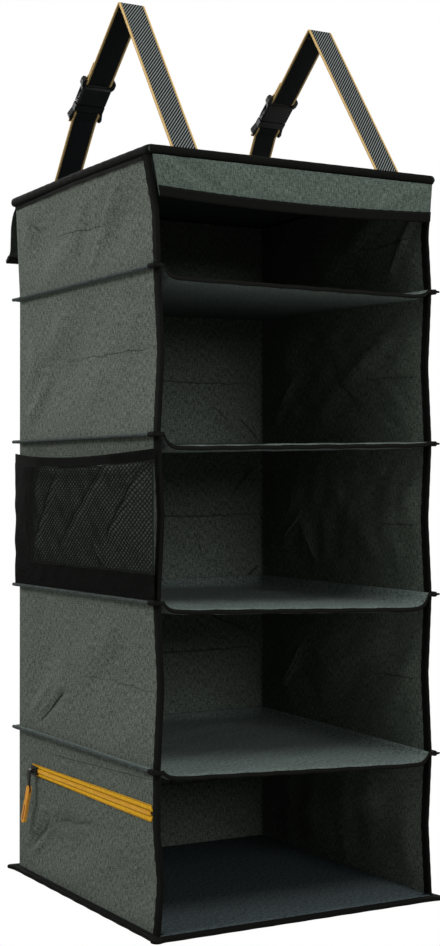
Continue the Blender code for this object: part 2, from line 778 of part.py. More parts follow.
def make_mesh_pocket():
    front = pocket_y(0.0)
    rear = DEPTH / 2.0 - REAR_BORDER
    half = BORDER_THICKNESS / 2.0
    margin = CLEARANCE + STRAND / 2.0

    def net_place(u, v):
        y = blend(front + margin, rear - margin, u)
        z = blend(LOWER_BORDER_TOP + margin, band_low(y) - CLEARANCE, v)
        return Vector((pocket_x(y, z), y, z))

    net = add_object("mesh_pocket_net", net_lattice(net_place), "mesh")
    strands = net.modifiers.new("strands", "WIREFRAME")
    strands.thickness = STRAND
    strands.offset = 0.0
    strands.use_even_offset = True
    strands.use_boundary = True

    foot = level_height(POCKET_SHELF_INDEX + 1, -WIDTH / 2.0) + SLAB / 2.0 + CLEARANCE
    stops = [blend(front, rear, step / BORDER_STEPS) for step in range(BORDER_STEPS + 1)] + [DEPTH / 2.0]
    stop_at = lines(stops)

    def lower_place(u, v):
        y = stop_at(u)
        z = blend(foot, LOWER_BORDER_TOP, v)
        return Vector((pocket_x(y, z), y, z))

    border = add_object("mesh_pocket_border", sheet(len(stops) - 1, 3, lower_place), "binding")
    thicken(border, BORDER_THICKNESS)

    def rear_place(u, v):
        y = blend(rear, DEPTH / 2.0, u)
        z = blend(LOWER_BORDER_TOP - half, band_low(y) + CLEARANCE, v)
        return Vector((pocket_x(y, z), y, z))

    upright = add_cutter("pocket_rear_border", sheet(2, 5, rear_place))
    thicken(upright, BORDER_THICKNESS)
    join(border, upright)

    def band_place(u, v):
        y = pocket_y(u)
        z = blend(band_low(y) + 2.0 * CLEARANCE + half, band_low(y) + BAND_HEIGHT, v)
        return Vector((pocket_x(y, z), y, z))

    band = add_object("mesh_pocket_band", sheet(14, 1, band_place), "binding")
    thicken(band, BORDER_THICKNESS)


# Zip pocket

def zip_x(outward):
    """X of a plane outward from the middle of the wall that holds the zip."""
    return side_middle(ZIP_COMPARTMENT_INDEX, -1) - outward


def make_zip_tapes():
    """Two tapes sewn over the edges of the window in the left wall of the fifth compartment."""
    wall = bpy.data.objects["wall_" + str(ZIP_COMPARTMENT_INDEX)]
    half_window = ZIP_WINDOW / 2.0
    low = (zip_x(RIDGE), ZIP_FRONT, ZIP_HEIGHT - half_window)
    high = (zip_x(-RIDGE), ZIP_REAR, ZIP_HEIGHT + half_window)
    cut(wall, add_cutter("zip_window", box(low, high)))

    near = FABRIC / 2.0 + CLEARANCE
    inner = CHAIN_WIDTH / 2.0 + CLEARANCE
    for name, side in (("zip_tape_upper", 1), ("zip_tape_lower", -1)):
        heights = sorted((ZIP_HEIGHT + side * inner, ZIP_HEIGHT + side * ZIP_TAPE_WIDTH))
        tape_low = (zip_x(near + ZIP_TAPE_THICKNESS), ZIP_FRONT - ZIP_TAPE_END, heights[0])
        tape_high = (zip_x(near), ZIP_REAR + ZIP_TAPE_END, heights[1])
        add_object(name, box(tape_low, tape_high), "zip", 0.8)

    chain_low = (zip_x(near + CHAIN_THICKNESS), ZIP_FRONT + CLEARANCE, ZIP_HEIGHT - CHAIN_WIDTH / 2.0)
    chain_high = (zip_x(near), chain_end(), ZIP_HEIGHT + CHAIN_WIDTH / 2.0)
    chain = add_object("zip_chain", box(chain_low, chain_high), "zip", 0.5)
    round_edges(chain, CHAIN_WIDTH / 4.0)


def chain_end():
    """Rear end of the chain, inside the slider and just in front of its bridge."""
    return ZIP_REAR - SLIDER_BRIDGE_LENGTH


def make_zip_slider():
    """Two plates joined by the bridge behind the chain, with the crown that carries the tab."""
    near = FABRIC / 2.0 + CLEARANCE
    front_y = ZIP_REAR - SLIDER_LENGTH
    middle_y = ZIP_REAR - SLIDER_LENGTH / 2.0
    half_width = SLIDER_WIDTH / 2.0
    plate_in = near + CHAIN_THICKNESS + CLEARANCE
    plate_out = plate_in + SLIDER_PLATE
    crown = plate_out + CLEARANCE + EYE_RADIUS
    waist = SLIDER_WAIST / 2.0
    shape = (
        (front_y, ZIP_HEIGHT - waist),
        (front_y, ZIP_HEIGHT + waist),
        (middle_y, ZIP_HEIGHT + half_width),
        (ZIP_REAR - CLEARANCE, ZIP_HEIGHT + half_width),
        (ZIP_REAR - CLEARANCE, ZIP_HEIGHT - half_width),
        (middle_y, ZIP_HEIGHT - half_width),
    )
    slider = add_object("zip_slider", plate(shape, zip_x(plate_out), zip_x(plate_in), "X"), "buckle", 0.4)
    back_out = near - CLEARANCE
    back = add_cutter("slider_back", plate(shape, zip_x(back_out), zip_x(back_out - SLIDER_PLATE), "X"))
    join(slider, back)
    half_plate = SLIDER_PLATE / 2.0
    bridge_low = (zip_x(plate_out - half_plate), chain_end() + CLEARANCE, ZIP_HEIGHT - SLIDER_BRIDGE / 2.0)
    bridge_high = (zip_x(back_out - half_plate), ZIP_REAR - 2.0 * CLEARANCE, ZIP_HEIGHT + SLIDER_BRIDGE / 2.0)
    join(slider, add_cutter("slider_bridge", box(bridge_low, bridge_high)))
    tape_out = near + ZIP_TAPE_THICKNESS + CLEARANCE
    flange = waist - CLEARANCE
    for side in (-1, 1):
        heights = sorted((ZIP_HEIGHT + side * flange, ZIP_HEIGHT + side * (flange - SLIDER_PLATE)))
        flange_low = (zip_x(plate_out - half_plate), front_y + CLEARANCE, heights[0])
        flange_high = (zip_x(tape_out), ZIP_REAR - 2.0 * CLEARANCE, heights[1])
        join(slider, add_cutter("slider_flange_" + ("low", "high")[side > 0], box(flange_low, flange_high)))
    half_span = TAB_WIDTH / 2.0 + CLEARANCE + CROWN_POST
    half_post = CROWN_RADIUS - CLEARANCE / 2.0
    arch_half = half_span - CLEARANCE
    arch_front = (zip_x(crown), middle_y - arch_half, ZIP_HEIGHT)
    arch_rear = (zip_x(crown), middle_y + arch_half, ZIP_HEIGHT)
    arch = rod(arch_front, arch_rear, CROWN_RADIUS)
    join(slider, add_cutter("slider_arch", arch))
    for side in (-1, 1):
        reach = sorted((middle_y + side * half_span, middle_y + side * (half_span - CROWN_POST)))
        post_low = (zip_x(crown + half_post), reach[0], ZIP_HEIGHT - half_post)
        post_high = (zip_x(plate_out - half_plate), reach[1], ZIP_HEIGHT + half_post)
        join(slider, add_cutter("slider_post_" + ("front", "rear")[side > 0], box(post_low, post_high)))
    return (zip_x(crown), middle_y)


def make_zip_pull(crown_x, middle_y):
    """The tab that swings on the slider's crown, and the moulded puller pinned to its lower ring."""
    eye_y = EYE_HALF_LENGTH
    tab = add_object(
        "zip_pull_tab",
        rod((crown_x, middle_y - eye_y, ZIP_HEIGHT), (crown_x, middle_y + eye_y, ZIP_HEIGHT), EYE_RADIUS, 14),
        "buckle",
        0.4,
        origin=(crown_x, middle_y, ZIP_HEIGHT),
    )
    cheek = TAB_THICKNESS / 2.0
    outer_x = crown_x - EYE_RADIUS - TAB_THICKNESS + CLEARANCE
    ring_z = -TAB_LENGTH + TAB_RING
    shape = [(TAB_WIDTH / 2.0, 0.0), (TAB_WIDTH / 2.0, -TAB_SHOULDER), (TAB_WAIST / 2.0, -TAB_LENGTH / 2.0)]
    ring = arc((0.0, ring_z), TAB_RING, 30.0, -210.0, 8)
    outline = shape + ring + [(-side, z) for side, z in reversed(shape)]
    placed = [(middle_y + side, ZIP_HEIGHT + z) for side, z in outline]
    blade = add_cutter("tab_blade", plate(placed, outer_x, outer_x + TAB_THICKNESS, "X"))
    join(tab, blade)
    bore = rod(
        (crown_x, middle_y - TAB_WIDTH, ZIP_HEIGHT),
        (crown_x, middle_y + TAB_WIDTH, ZIP_HEIGHT),
        CROWN_RADIUS + CLEARANCE,
        14,
    )
    cut(tab, add_cutter("tab_eye_bore", bore))
    blade_x = outer_x + cheek
    pivot = (blade_x, middle_y, ZIP_HEIGHT + ring_z)
    hole_in = (blade_x + TAB_THICKNESS, middle_y, ZIP_HEIGHT + ring_z)
    hole_out = (blade_x - TAB_THICKNESS, middle_y, ZIP_HEIGHT + ring_z)
    hole = rod(hole_out, hole_in, PIVOT_RADIUS + CLEARANCE)
    cut(tab, add_cutter("tab_ring_hole", hole))

    hanger = bpy.data.objects.new("puller_swing_axis", None)
    PARTS.objects.link(hanger)
    hanger.parent = BOX
    hanger.location = pivot
    hanger.rotation_euler = (PULLER_SWING, 0.0, 0.0)
    half = PULLER_WIDTH / 2.0
    foot = -PULLER_LENGTH + half
    round_end = arc((0.0, 0.0), half, 90.0, 0.0, 3)
    neck = [(half, half - PULLER_NECK), (PULLER_NECK_WIDTH / 2.0, -PULLER_NECK), (half, -half - PULLER_NECK)]
    round_foot = arc((0.0, foot + half), half, 0.0, -90.0, 3)
    edge = round_end[1:] + neck + round_foot[:-1]
    outline = [(0.0, half)] + edge + [(0.0, foot)] + [(-side, z) for side, z in reversed(edge)]
    grip = plate(outline, -PULLER_THICKNESS / 2.0, PULLER_THICKNESS / 2.0, "X")
    puller = add_object("zip_puller", grip, "puller", 0.55, parent=hanger)
    slot_half = cheek + CLEARANCE
    slot = box((-slot_half, -PULLER_WIDTH, -TAB_RING - CLEARANCE), (slot_half, PULLER_WIDTH, PULLER_WIDTH))
    cut(puller, add_cutter("puller_slot", slot, parent=hanger))
    pin_half = PULLER_THICKNESS / 2.0 - CLEARANCE
    pin = rod((-pin_half, 0.0, 0.0), (pin_half, 0.0, 0.0), PIVOT_RADIUS)
    join(puller, add_cutter("puller_pin", pin, parent=hanger))
    half_groove = PULLER_GROOVE_WIDTH / 2.0
    groove_low = (-PULLER_THICKNESS, -half_groove, foot + half)
    groove_high = (PULLER_GROOVE - PULLER_THICKNESS / 2.0, half_groove, -PULLER_NECK - PULLER_WIDTH)
    cut(puller, add_cutter("puller_groove", box(groove_low, groove_high), parent=hanger))


def make_pocket_bag():
    """The lining sewn behind the zip, a shallow bag against the inner face of the wall."""
    def place(u, v):
        y = blend(ZIP_FRONT, ZIP_REAR + RIDGE, u)
        z = blend(BAG_LOW, BAG_HIGH, v)
        across = min(BAG_FULLNESS * math.sin(math.pi * u), 1.0)
        along = min(BAG_FULLNESS * math.sin(math.pi * v), 1.0)
        near = slack(ZIP_COMPARTMENT_INDEX, "left", 0.0, (z - BASE_SLAB) / (SHELF_LEVELS[-1] - BASE_SLAB))
        edge = FABRIC + CLEARANCE + max(near, 0.0)
        return Vector((zip_x(-edge - BAG_DEPTH * across * along), y, z))

    bag = add_object("zip_pocket_bag", sheet(BAG_FACES, BAG_FACES, place), "inside")
    thicken(bag, FABRIC / 2.0)


# Storage flap behind the top

def make_rear_flap():
    hinge_y = RIM_HALF_DEPTH + FLAP_SEAM_OUT
    hinge_z = TOP_LEVEL + CLEARANCE + RIM_HEIGHT / 2.0
    seam = FLAP_SEAM_OUT - 2.0 * CLEARANCE
    hem_top = (FLAP_REACH - FLAP_HEM_TUCK, -FLAP_DROP + FLAP_TAPE)
    hem_end = (FLAP_REACH + FLAP_FLARE, -FLAP_DROP)
    form = tuple((FLAP_REACH * out, -FLAP_DROP * drop) for out, drop in FLAP_FORM)
    side = ((-seam, 0.0),) + form + (hem_top, hem_end)
    side_at = lines(side)

    def ripple(x, drop):
        share = min(max(-drop / FLAP_DROP, 0.0), 1.0)
        return FLAP_RIPPLE * share * share * math.cos(math.pi * FLAP_WAVES * x / FLAP_HALF_WIDTH)

    def place(u, v):
        x = blend(-FLAP_HALF_WIDTH, FLAP_HALF_WIDTH, u)
        out, drop = side_at(v)
        return Vector((x, hinge_y + out + ripple(x, drop), hinge_z + drop))

    hinge = (0.0, hinge_y, hinge_z)
    flap = add_object("rear_flap", sheet(FLAP_COLUMNS, len(side) - 1, place), "inside", origin=hinge)
    thicken(flap, FABRIC)

    along = Vector((hem_end[0] - hem_top[0], hem_end[1] - hem_top[1])).normalized()
    normal = Vector((along.y, -along.x))
    reach = FABRIC / 2.0 + CLEARANCE * 2.0 + TAPE / 2.0
    end = Vector(hem_end) + along * (CLEARANCE * 2.0 + TAPE / 2.0)
    start = end - along * FLAP_TAPE
    fold = (start + normal * reach, end + normal * reach, end - normal * reach, start - normal * reach)
    fold_at = lines(fold)

    def place_tape(u, v):
        x = blend(-FLAP_HALF_WIDTH, FLAP_HALF_WIDTH, u)
        point = fold_at(v)
        return Vector((x, hinge_y + point.x + ripple(x, point.y), hinge_z + point.y))

    tape = add_object("rear_flap_binding", sheet(FLAP_COLUMNS, 3, place_tape), "binding", origin=hinge)
    thicken(tape, TAPE)


# Straps and buckles

def ribbon(name, path, centre_x):
    path_at = lines(path)

    def place(u, v):
        x = centre_x + WEBBING_WIDTH * (v - 0.5)
        return Vector((x, path_at(u)[0], path_at(u)[1]))

    strap = add_object(name, sheet(len(path) - 1, 1, place), "webbing")
    thicken(strap, WEBBING)
    return strap


def make_strap(strap):
    """The three runs of one strap: front leg with the fold, upper rear leg, lower rear leg."""
    prefix = "strap_" + strap.side
    wrap = BAR_RADIUS + CLEARANCE + WEBBING / 2.0
    apex = Vector(strap.apex)
    down = (Vector(strap.buckle_top) - apex).normalized()
    end = apex + down * APEX_TAIL
    foot_end = (strap.front[0] + STRAP_FOOT, strap.front[1])
    front = fillet((foot_end, strap.front, strap.apex, tuple(end)), APEX_RADIUS)
    ribbon(prefix + "_front", front, strap.centre_x)

    start = apex + down * (APEX_TAIL + CLEARANCE)
    bar = (0.0, -BAR_RADIUS - CLEARANCE * 2.0)
    loop = [strap.at(*point) for point in arc(bar, wrap, 180.0, 360.0, 6)]
    doubled = -wrap + WEBBING + CLEARANCE * 2.5
    rest = [strap.at(doubled, bar[1] + SEWN_BULGE), strap.at(doubled, SEWN_BACK)]
    upper = [tuple(start), strap.at(-wrap, SEWN_BACK / 2.0)] + loop + rest
    ribbon(prefix + "_upper", upper, strap.centre_x)

    ladder = (0.0, ladder_up())
    turn = [strap.at(*point) for point in arc(ladder, wrap, 180.0, 0.0, 6)]
    bend = strap.at(-wrap, -BUCKLE_LENGTH - BAR_RADIUS)
    foot = fillet(((strap.foot[0] + STRAP_FOOT, strap.foot[1]), strap.foot, bend), FOLD_RADIUS)
    tail_end = strap.at(wrap * THREADED_SPREAD, -BUCKLE_LENGTH - THREADED_BACK)
    tail = [strap.at(wrap, -BUCKLE_LENGTH + BAR_RADIUS), tail_end]
    ribbon(prefix + "_lower", [tuple(point) for point in foot] + turn + tail, strap.centre_x)


def ladder_up():
    """Height of the ladder bar along the buckle, measured from the ears' tops."""
    return -BUCKLE_LENGTH + 5.0 * BAR_RADIUS + CLEARANCE * 2.0


def make_buckle(strap):
    """Socket and clip of one side-release buckle, in axes along the strap (Z up it, Y outward)."""
    axis = bpy.data.objects.new("buckle_" + strap.side + "_axis", None)
    PARTS.objects.link(axis)
    axis.parent = BOX
    axis.location = (strap.centre_x, strap.buckle_top[0], strap.buckle_top[1])
    axis.rotation_euler = (strap.tilt(), 0.0, 0.0)
    make_socket(strap.side, axis)
    make_clip(strap.side, axis)


def make_socket(side, axis):
    half = BUCKLE_HALF_WIDTH
    body_half = half - SOCKET_STEP
    thick = BUCKLE_THICKNESS / 2.0
    name = "buckle_socket_" + side
    body = box((-body_half, -thick, -SOCKET_LENGTH), (body_half, thick, -SOCKET_SHOULDER))
    socket = add_object(name, body, "buckle", 0.35, parent=axis)
    round_edges(socket, SOCKET_EDGE)
    ear_in = WEBBING_WIDTH / 2.0 + CLEARANCE * 2.0
    for sign in (-1, 1):
        outline = (
            (sign * ear_in, 0.0),
            (sign * (half - EAR_CHAMFER), 0.0),
            (sign * half, -EAR_CHAMFER * 2.0),
            (sign * half, -SOCKET_SHOULDER + EAR_CHAMFER),
            (sign * (half - EAR_SLOPE), -SOCKET_SHOULDER - EAR_SLOPE),
            (sign * (ear_in - CLEARANCE), -SOCKET_SHOULDER - EAR_SLOPE),
        )
        ear = plate(outline, -EAR_THICKNESS / 2.0, EAR_THICKNESS / 2.0)
        join(socket, add_cutter(name + "_ear_" + ("left", "right")[sign > 0], ear, parent=axis))
    bar_up = -BAR_RADIUS - CLEARANCE * 2.0
    bar_half = half - CLEARANCE * 3.0
    bar = rod((-bar_half, 0.0, bar_up), (bar_half, 0.0, bar_up), BAR_RADIUS)
    join(socket, add_cutter(name + "_bar", bar, parent=axis))
    inner = body_half - SOCKET_CHEEK
    hollow = thick - BUCKLE_WALL
    mouth_low = (-inner, -hollow, -SOCKET_LENGTH - BUCKLE_WALL)
    mouth_high = (inner, hollow, -SOCKET_SHOULDER - BUCKLE_WALL)
    cut(socket, add_cutter(name + "_mouth", box(mouth_low, mouth_high), parent=axis))
    latch_low, latch_high = latch_heights()
    reach = half + BUCKLE_WALL
    pane = thick - SOCKET_CHEEK
    window = box((-reach, -pane, latch_low), (reach, pane, latch_high))
    cut(socket, add_cutter(name + "_window", window, parent=axis))


def latch_heights():
    """Lower and upper edge of the socket's side windows."""
    low = -SOCKET_LENGTH + LATCH_FOOT
    return (low, low + LATCH_LENGTH)


def make_clip(side, axis):
    half = BUCKLE_HALF_WIDTH
    body_half = half - SOCKET_STEP
    name = "buckle_clip_" + side
    top = -SOCKET_LENGTH - CLEARANCE
    ladder = ladder_up()
    slot_top = ladder + BAR_RADIUS + WEBBING + CLEARANCE * 3.0
    outline = (
        (body_half, top),
        (body_half, slot_top),
        (half, -BUCKLE_LENGTH + BAR_RADIUS * 2.0),
        (half - EAR_CHAMFER, -BUCKLE_LENGTH),
    )
    shape = outline + tuple((-x, z) for x, z in reversed(outline))
    thick = CLIP_THICKNESS / 2.0
    clip = add_object(name, plate(shape, -thick, thick), "buckle", 0.35, parent=axis)
    gap = half - CLIP_RAIL
    window = box((-gap, -BUCKLE_THICKNESS, -BUCKLE_LENGTH - CLIP_RAIL), (gap, BUCKLE_THICKNESS, slot_top))
    cut(clip, add_cutter(name + "_slot", window, parent=axis))
    for label, height in (("ladder", ladder), ("end", -BUCKLE_LENGTH + BAR_RADIUS + CLEARANCE)):
        bar = rod((-half + CLIP_RAIL / 2.0, 0.0, height), (half - CLIP_RAIL / 2.0, 0.0, height), BAR_RADIUS)
        join(clip, add_cutter(name + "_bar_" + label, bar, parent=axis))
    latch_low, latch_high = latch_heights()
    inner = body_half - SOCKET_CHEEK
    blade = BUCKLE_THICKNESS / 2.0 - SOCKET_CHEEK - CLEARANCE
    root = top - CLIP_RAIL
    nose = latch_high - CLEARANCE * 2.0
    for sign in (-1, 1):
        arm = (
            (sign * (inner - SOCKET_CHEEK - PRONG_WIDTH), root),
            (sign * (inner - SOCKET_CHEEK), root),
            (sign * (inner - CLEARANCE * 3.0), latch_low + CLEARANCE),
            (sign * (body_half - CLEARANCE), latch_low + CLEARANCE),
            (sign * (body_half - CLEARANCE * 2.0), (latch_low + latch_high) / 2.0),
            (sign * (inner - PRONG_NOSE), nose),
            (sign * (inner - PRONG_NOSE * 2.0), nose),
        )
        prong = plate(arm, -blade, blade)
        join(clip, add_cutter(name + "_prong_" + ("left", "right")[sign > 0], prong, parent=axis))
    tongue = box((-TONGUE_WIDTH / 2.0, -blade, root), (TONGUE_WIDTH / 2.0, blade, latch_high - PRONG_NOSE))
    join(clip, add_cutter(name + "_tongue", tongue, parent=axis))


def make_organizer():
    make_top()
    make_header()
    for compartment in range(1, len(SHELF_LEVELS) + 2):
        make_wall(compartment)
        make_edge_binding(compartment, -1)
        make_edge_binding(compartment, 1)
    for level in range(1, len(SHELF_LEVELS) + 1):
        make_shelf(level)
    make_base()
    make_mesh_pocket()
    make_zip_tapes()
    make_zip_pull(*make_zip_slider())
    make_pocket_bag()
    make_rear_flap()
    for strap in STRAPS:
        make_strap(strap)
        make_buckle(strap)


clear_scene()
PARTS = make_collection("tent_organizer")
CUTTERS = make_collection("cutters")
BOX = bpy.data.objects.new("box_frame", None)
PARTS.objects.link(BOX)
BOX.location = -Vector(HANG_POINT)
make_organizer()
bpy.context.view_layer.update()
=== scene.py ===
"""Dresses the hanging tent organizer: cloth, tapes, net, zip, straps and buckles, and the studio.

All shapes are worked out in the box frame: the base's underside is at z = 0, the box is centred on
x = y = 0 and its open front faces -Y. SHIFT moves that frame so that the hang point is the origin.
Sizes are in metres.
"""
import json
import logging
import math
from dataclasses import dataclass, field, replace
from enum import Enum
from typing import Any, Iterable, Optional, Sequence

import bmesh
import bpy
import numpy as np
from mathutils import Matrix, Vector


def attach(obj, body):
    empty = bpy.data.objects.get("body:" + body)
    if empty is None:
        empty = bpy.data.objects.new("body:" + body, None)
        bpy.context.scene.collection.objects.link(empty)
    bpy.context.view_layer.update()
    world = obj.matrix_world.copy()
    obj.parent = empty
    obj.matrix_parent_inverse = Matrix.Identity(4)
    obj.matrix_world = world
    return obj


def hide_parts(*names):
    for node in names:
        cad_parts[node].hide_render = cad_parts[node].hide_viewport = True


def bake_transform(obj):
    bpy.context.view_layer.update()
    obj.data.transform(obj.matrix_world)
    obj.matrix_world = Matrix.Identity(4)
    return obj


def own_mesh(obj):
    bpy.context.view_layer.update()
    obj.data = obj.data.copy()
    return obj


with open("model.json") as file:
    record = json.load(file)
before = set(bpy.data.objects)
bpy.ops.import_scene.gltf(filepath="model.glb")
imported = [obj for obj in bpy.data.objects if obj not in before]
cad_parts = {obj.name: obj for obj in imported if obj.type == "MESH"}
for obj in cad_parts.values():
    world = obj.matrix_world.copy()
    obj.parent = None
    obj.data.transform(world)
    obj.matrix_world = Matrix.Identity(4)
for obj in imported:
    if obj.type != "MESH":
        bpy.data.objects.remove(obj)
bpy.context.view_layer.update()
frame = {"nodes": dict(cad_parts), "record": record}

SHIFT = np.array((0.0, 0.043, -0.865))
SIGNS = {"left": -1, "right": 1}
BACK_START = 0.3215
RIGHT_FRONT = 0.9375
ZIP_HEIGHT = 0.1118
SHARP_DEGREES = 55.0
TRAVELS = (0.085, 0.128, 0.128, 0.128, 0.123)
LOG = logging.getLogger("organizer")

Pair = tuple[float, float]
Triple = tuple[float, float, float]
Colour = Triple
Run = tuple[float, ...]


def mix(low: Any, high: Any, share: Any) -> Any:
    """Linear step from low to high."""
    return low + (high - low) * share


def smooth(low: float, high: float, value: Any) -> Any:
    """Smooth step from 0 at low to 1 at high.

    Args:
        low: where the step starts.
        high: where the step ends.
        value: number or array.

    Returns:
        The step's height, of the same kind as value.
    """
    share = np.clip((value - low) / (high - low), 0.0, 1.0)
    return share * share * (3.0 - 2.0 * share)


# Shader graphs


class Value:
    """A shader socket that takes part in sums."""

    def __init__(self, graph: "Graph", socket: bpy.types.NodeSocket) -> None:
        """Keep the socket and the graph it belongs to."""
        self.graph = graph
        self.socket = socket

    def apply(self, operation: str, other: Any = None, swap: bool = False) -> "Value":
        """One Math node.

        Args:
            operation: the node's operation.
            other: number or Value, if the operation takes two.
            swap: puts other first.

        Returns:
            The node's result.
        """
        sides = [self, other] if other is not None else [self]
        if swap:
            sides.reverse()
        return self.graph.read("ShaderNodeMath", 0, {"operation": operation}, dict(enumerate(sides)))

    def __add__(self, other: Any) -> "Value":
        """Sum."""
        return self.apply("ADD", other)

    __radd__ = __add__

    def __sub__(self, other: Any) -> "Value":
        """Difference."""
        return self.apply("SUBTRACT", other)

    def __rsub__(self, other: Any) -> "Value":
        """Difference from a number."""
        return self.apply("SUBTRACT", other, swap=True)

    def __mul__(self, other: Any) -> "Value":
        """Product."""
        return self.apply("MULTIPLY", other)

    __rmul__ = __mul__

    def __truediv__(self, other: Any) -> "Value":
        """Quotient."""
        return self.apply("DIVIDE", other)

    def step(self, low: float, high: float) -> "Value":
        """Smooth step from 0 at low to 1 at high, or down where low is the larger.

        Args:
            low: where the step is 0.
            high: where it is 1.

        Returns:
            The step's height.
        """
        settings = {"interpolation_type": "SMOOTHSTEP"}
        inputs = {"Value": self, "From Min": low, "From Max": high}
        return self.graph.read("ShaderNodeMapRange", 0, settings, inputs)

    def band(self, middle: float, half: float) -> "Value":
        """1 within half of middle, with soft sides."""
        return (self - middle).apply("ABSOLUTE").step(half * 1.25, half * 0.75)

    def wave(self, pitch: float) -> "Value":
        """A wave from 0 to 1 that repeats every pitch."""
        return (self * (math.tau / pitch)).apply("SINE") * 0.5 + 0.5


class Graph:
    """The nodes of one material, with its Principled shader."""

    def __init__(self, name: str) -> None:
        """Start a material of that name.

        Args:
            name: the material's name.
        """
        self.material = bpy.data.materials.new(name)
        self.material.use_nodes = True
        self.tree = self.material.node_tree
        self.shader = self.tree.nodes["Principled BSDF"]

    def node(
        self, kind: str, settings: Optional[dict] = None, inputs: Optional[dict] = None
    ) -> bpy.types.Node:
        """Add a node.

        Args:
            kind: the node's type name.
            settings: attributes to set on it.
            inputs: values or Values for its sockets, by name or number.

        Returns:
            The node.
        """
        node = self.tree.nodes.new(kind)
        for key, value in (settings or {}).items():
            setattr(node, key, value)
        self.fill(node, inputs or {})
        return node

    def fill(self, node: bpy.types.Node, inputs: dict) -> None:
        """Set or link a node's sockets.

        Args:
            node: the node.
            inputs: values or Values for its sockets, by name or number.
        """
        for key, value in inputs.items():
            if isinstance(value, Value):
                self.tree.links.new(value.socket, node.inputs[key])
            else:
                node.inputs[key].default_value = value

    def read(
        self, kind: str, output: Any, settings: Optional[dict] = None, inputs: Optional[dict] = None
    ) -> Value:
        """One output of a new node."""
        return Value(self, self.node(kind, settings, inputs).outputs[output])

    def cloth(self) -> Value:
        """Place on the cloth in metres, from the sheet's own map."""
        return self.read("ShaderNodeUVMap", 0, {"uv_map": "cloth"})

    def body(self) -> Value:
        """Place on a rigid piece in metres."""
        return self.read("ShaderNodeTexCoord", "Object")

    def attribute(self, name: str) -> Value:
        """A number stored on the mesh."""
        return self.read("ShaderNodeAttribute", "Fac", {"attribute_name": name})

    def part(self, place: Value, axis: str) -> Value:
        """One coordinate of a place."""
        return self.read("ShaderNodeSeparateXYZ", axis, None, {0: place})

    def noise(
        self, place: Value, stretch: Sequence[float], detail: float = 2.0, rough: float = 0.5
    ) -> Value:
        """Noise whose features are 1 / stretch metres along each axis.

        Args:
            place: where it is read.
            stretch: features per metre along each axis.
            detail: octaves.
            rough: share of the finer octaves.

        Returns:
            A value about 0.5.
        """
        factors = {0: place, 1: tuple(stretch)}
        scaled = self.read("ShaderNodeVectorMath", 0, {"operation": "MULTIPLY"}, factors)
        inputs = {"Vector": scaled, "Scale": 1.0, "Detail": detail, "Roughness": rough}
        return self.read("ShaderNodeTexNoise", 0, None, inputs)

    def blend(self, low: Any, high: Any, share: Value) -> Value:
        """Colour between two colours or Values.

        Args:
            low: the colour where share is 0.
            high: the colour where it is 1.
            share: how far to go.

        Returns:
            The colour between them.
        """
        inputs = {"Factor": share, 6: low, 7: high}
        for key in (6, 7):
            if not isinstance(inputs[key], Value):
                inputs[key] = (*inputs[key], 1.0)
        return self.read("ShaderNodeMix", 2, {"data_type": "RGBA"}, inputs)

    def scale(self, colour: Value, factor: Value) -> Value:
        """A colour made lighter or darker."""
        inputs = {0: colour, "Scale": factor}
        return self.read("ShaderNodeVectorMath", 0, {"operation": "SCALE"}, inputs)

    def dress(self, sockets: dict) -> None:
        """Set or link the shader's own sockets."""
        self.fill(self.shader, sockets)

    def bump(self, height: Value, distance: float, strength: float = 1.0) -> None:
        """Raise the surface by height times distance."""
        inputs = {"Height": height, "Distance": distance, "Strength": strength}
        self.dress({"Normal": self.read("ShaderNodeBump", 0, None, inputs)})


def srgb(red: float, green: float, blue: float) -> Colour:
    """Linear colour from 0-255 display values.

    Args:
        red: display value.
        green: display value.
        blue: display value.

    Returns:
        The same colour, linear, from 0 to 1.
    """
    channels = [channel / 255.0 for channel in (red, green, blue)]
    linear = [c / 12.92 if c <= 0.04045 else ((c + 0.055) / 1.055) ** 2.4 for c in channels]
    return (linear[0], linear[1], linear[2])


# Finishes


class Weave(Enum):
    """How the threads of a woven piece cross."""

    TWILL = "twill"
    RIB = "rib"
    HERRINGBONE = "herringbone"


@dataclass(frozen=True)
class Crease:
    """A crease pressed into a wall's cloth between two places, in metres along the wall and up.

    The first counts from the wall's front, or from its left on the back. Depth is the painted shade along
    the crease; a negative depth paints a paler line, a painted highlight.
    """

    start: Pair
    end: Pair
    # Painted shade along the crease; below 0 a painted highlight.
    depth: float = 0.4
    width: float = 0.0022
    wall: str = "left"
    stray: float = 1.0
    height: float = 0.0006

    def along(self, metres: float) -> float:
        """Place along the strip of cloth that goes round the box."""
        return {"left": metres, "back": BACK_START + metres, "right": RIGHT_FRONT - metres}[self.wall]

    def line(self, along: Value, up: Value, wander: Value) -> Value:
        """How much of the crease is at a place.

        Args:
            along: place along the cloth.
            up: place up the cloth.
            wander: how far the crease strays from its straight line.

        Returns:
            1 on its middle, less beside it and towards its ends.
        """
        begin = self.along(self.start[0])
        run = self.along(self.end[0]) - begin
        rise = self.end[1] - self.start[1]
        length = math.hypot(run, rise)
        right = along - begin
        over = up - self.start[1]
        share = (right * run + over * rise) / (length * length)
        aside = (right * rise - over * run) / length + wander * self.stray
        beside = aside.apply("ABSOLUTE").step(self.width, 0.0)
        return beside * share.step(-0.06, 0.25) * share.step(1.06, 0.75)


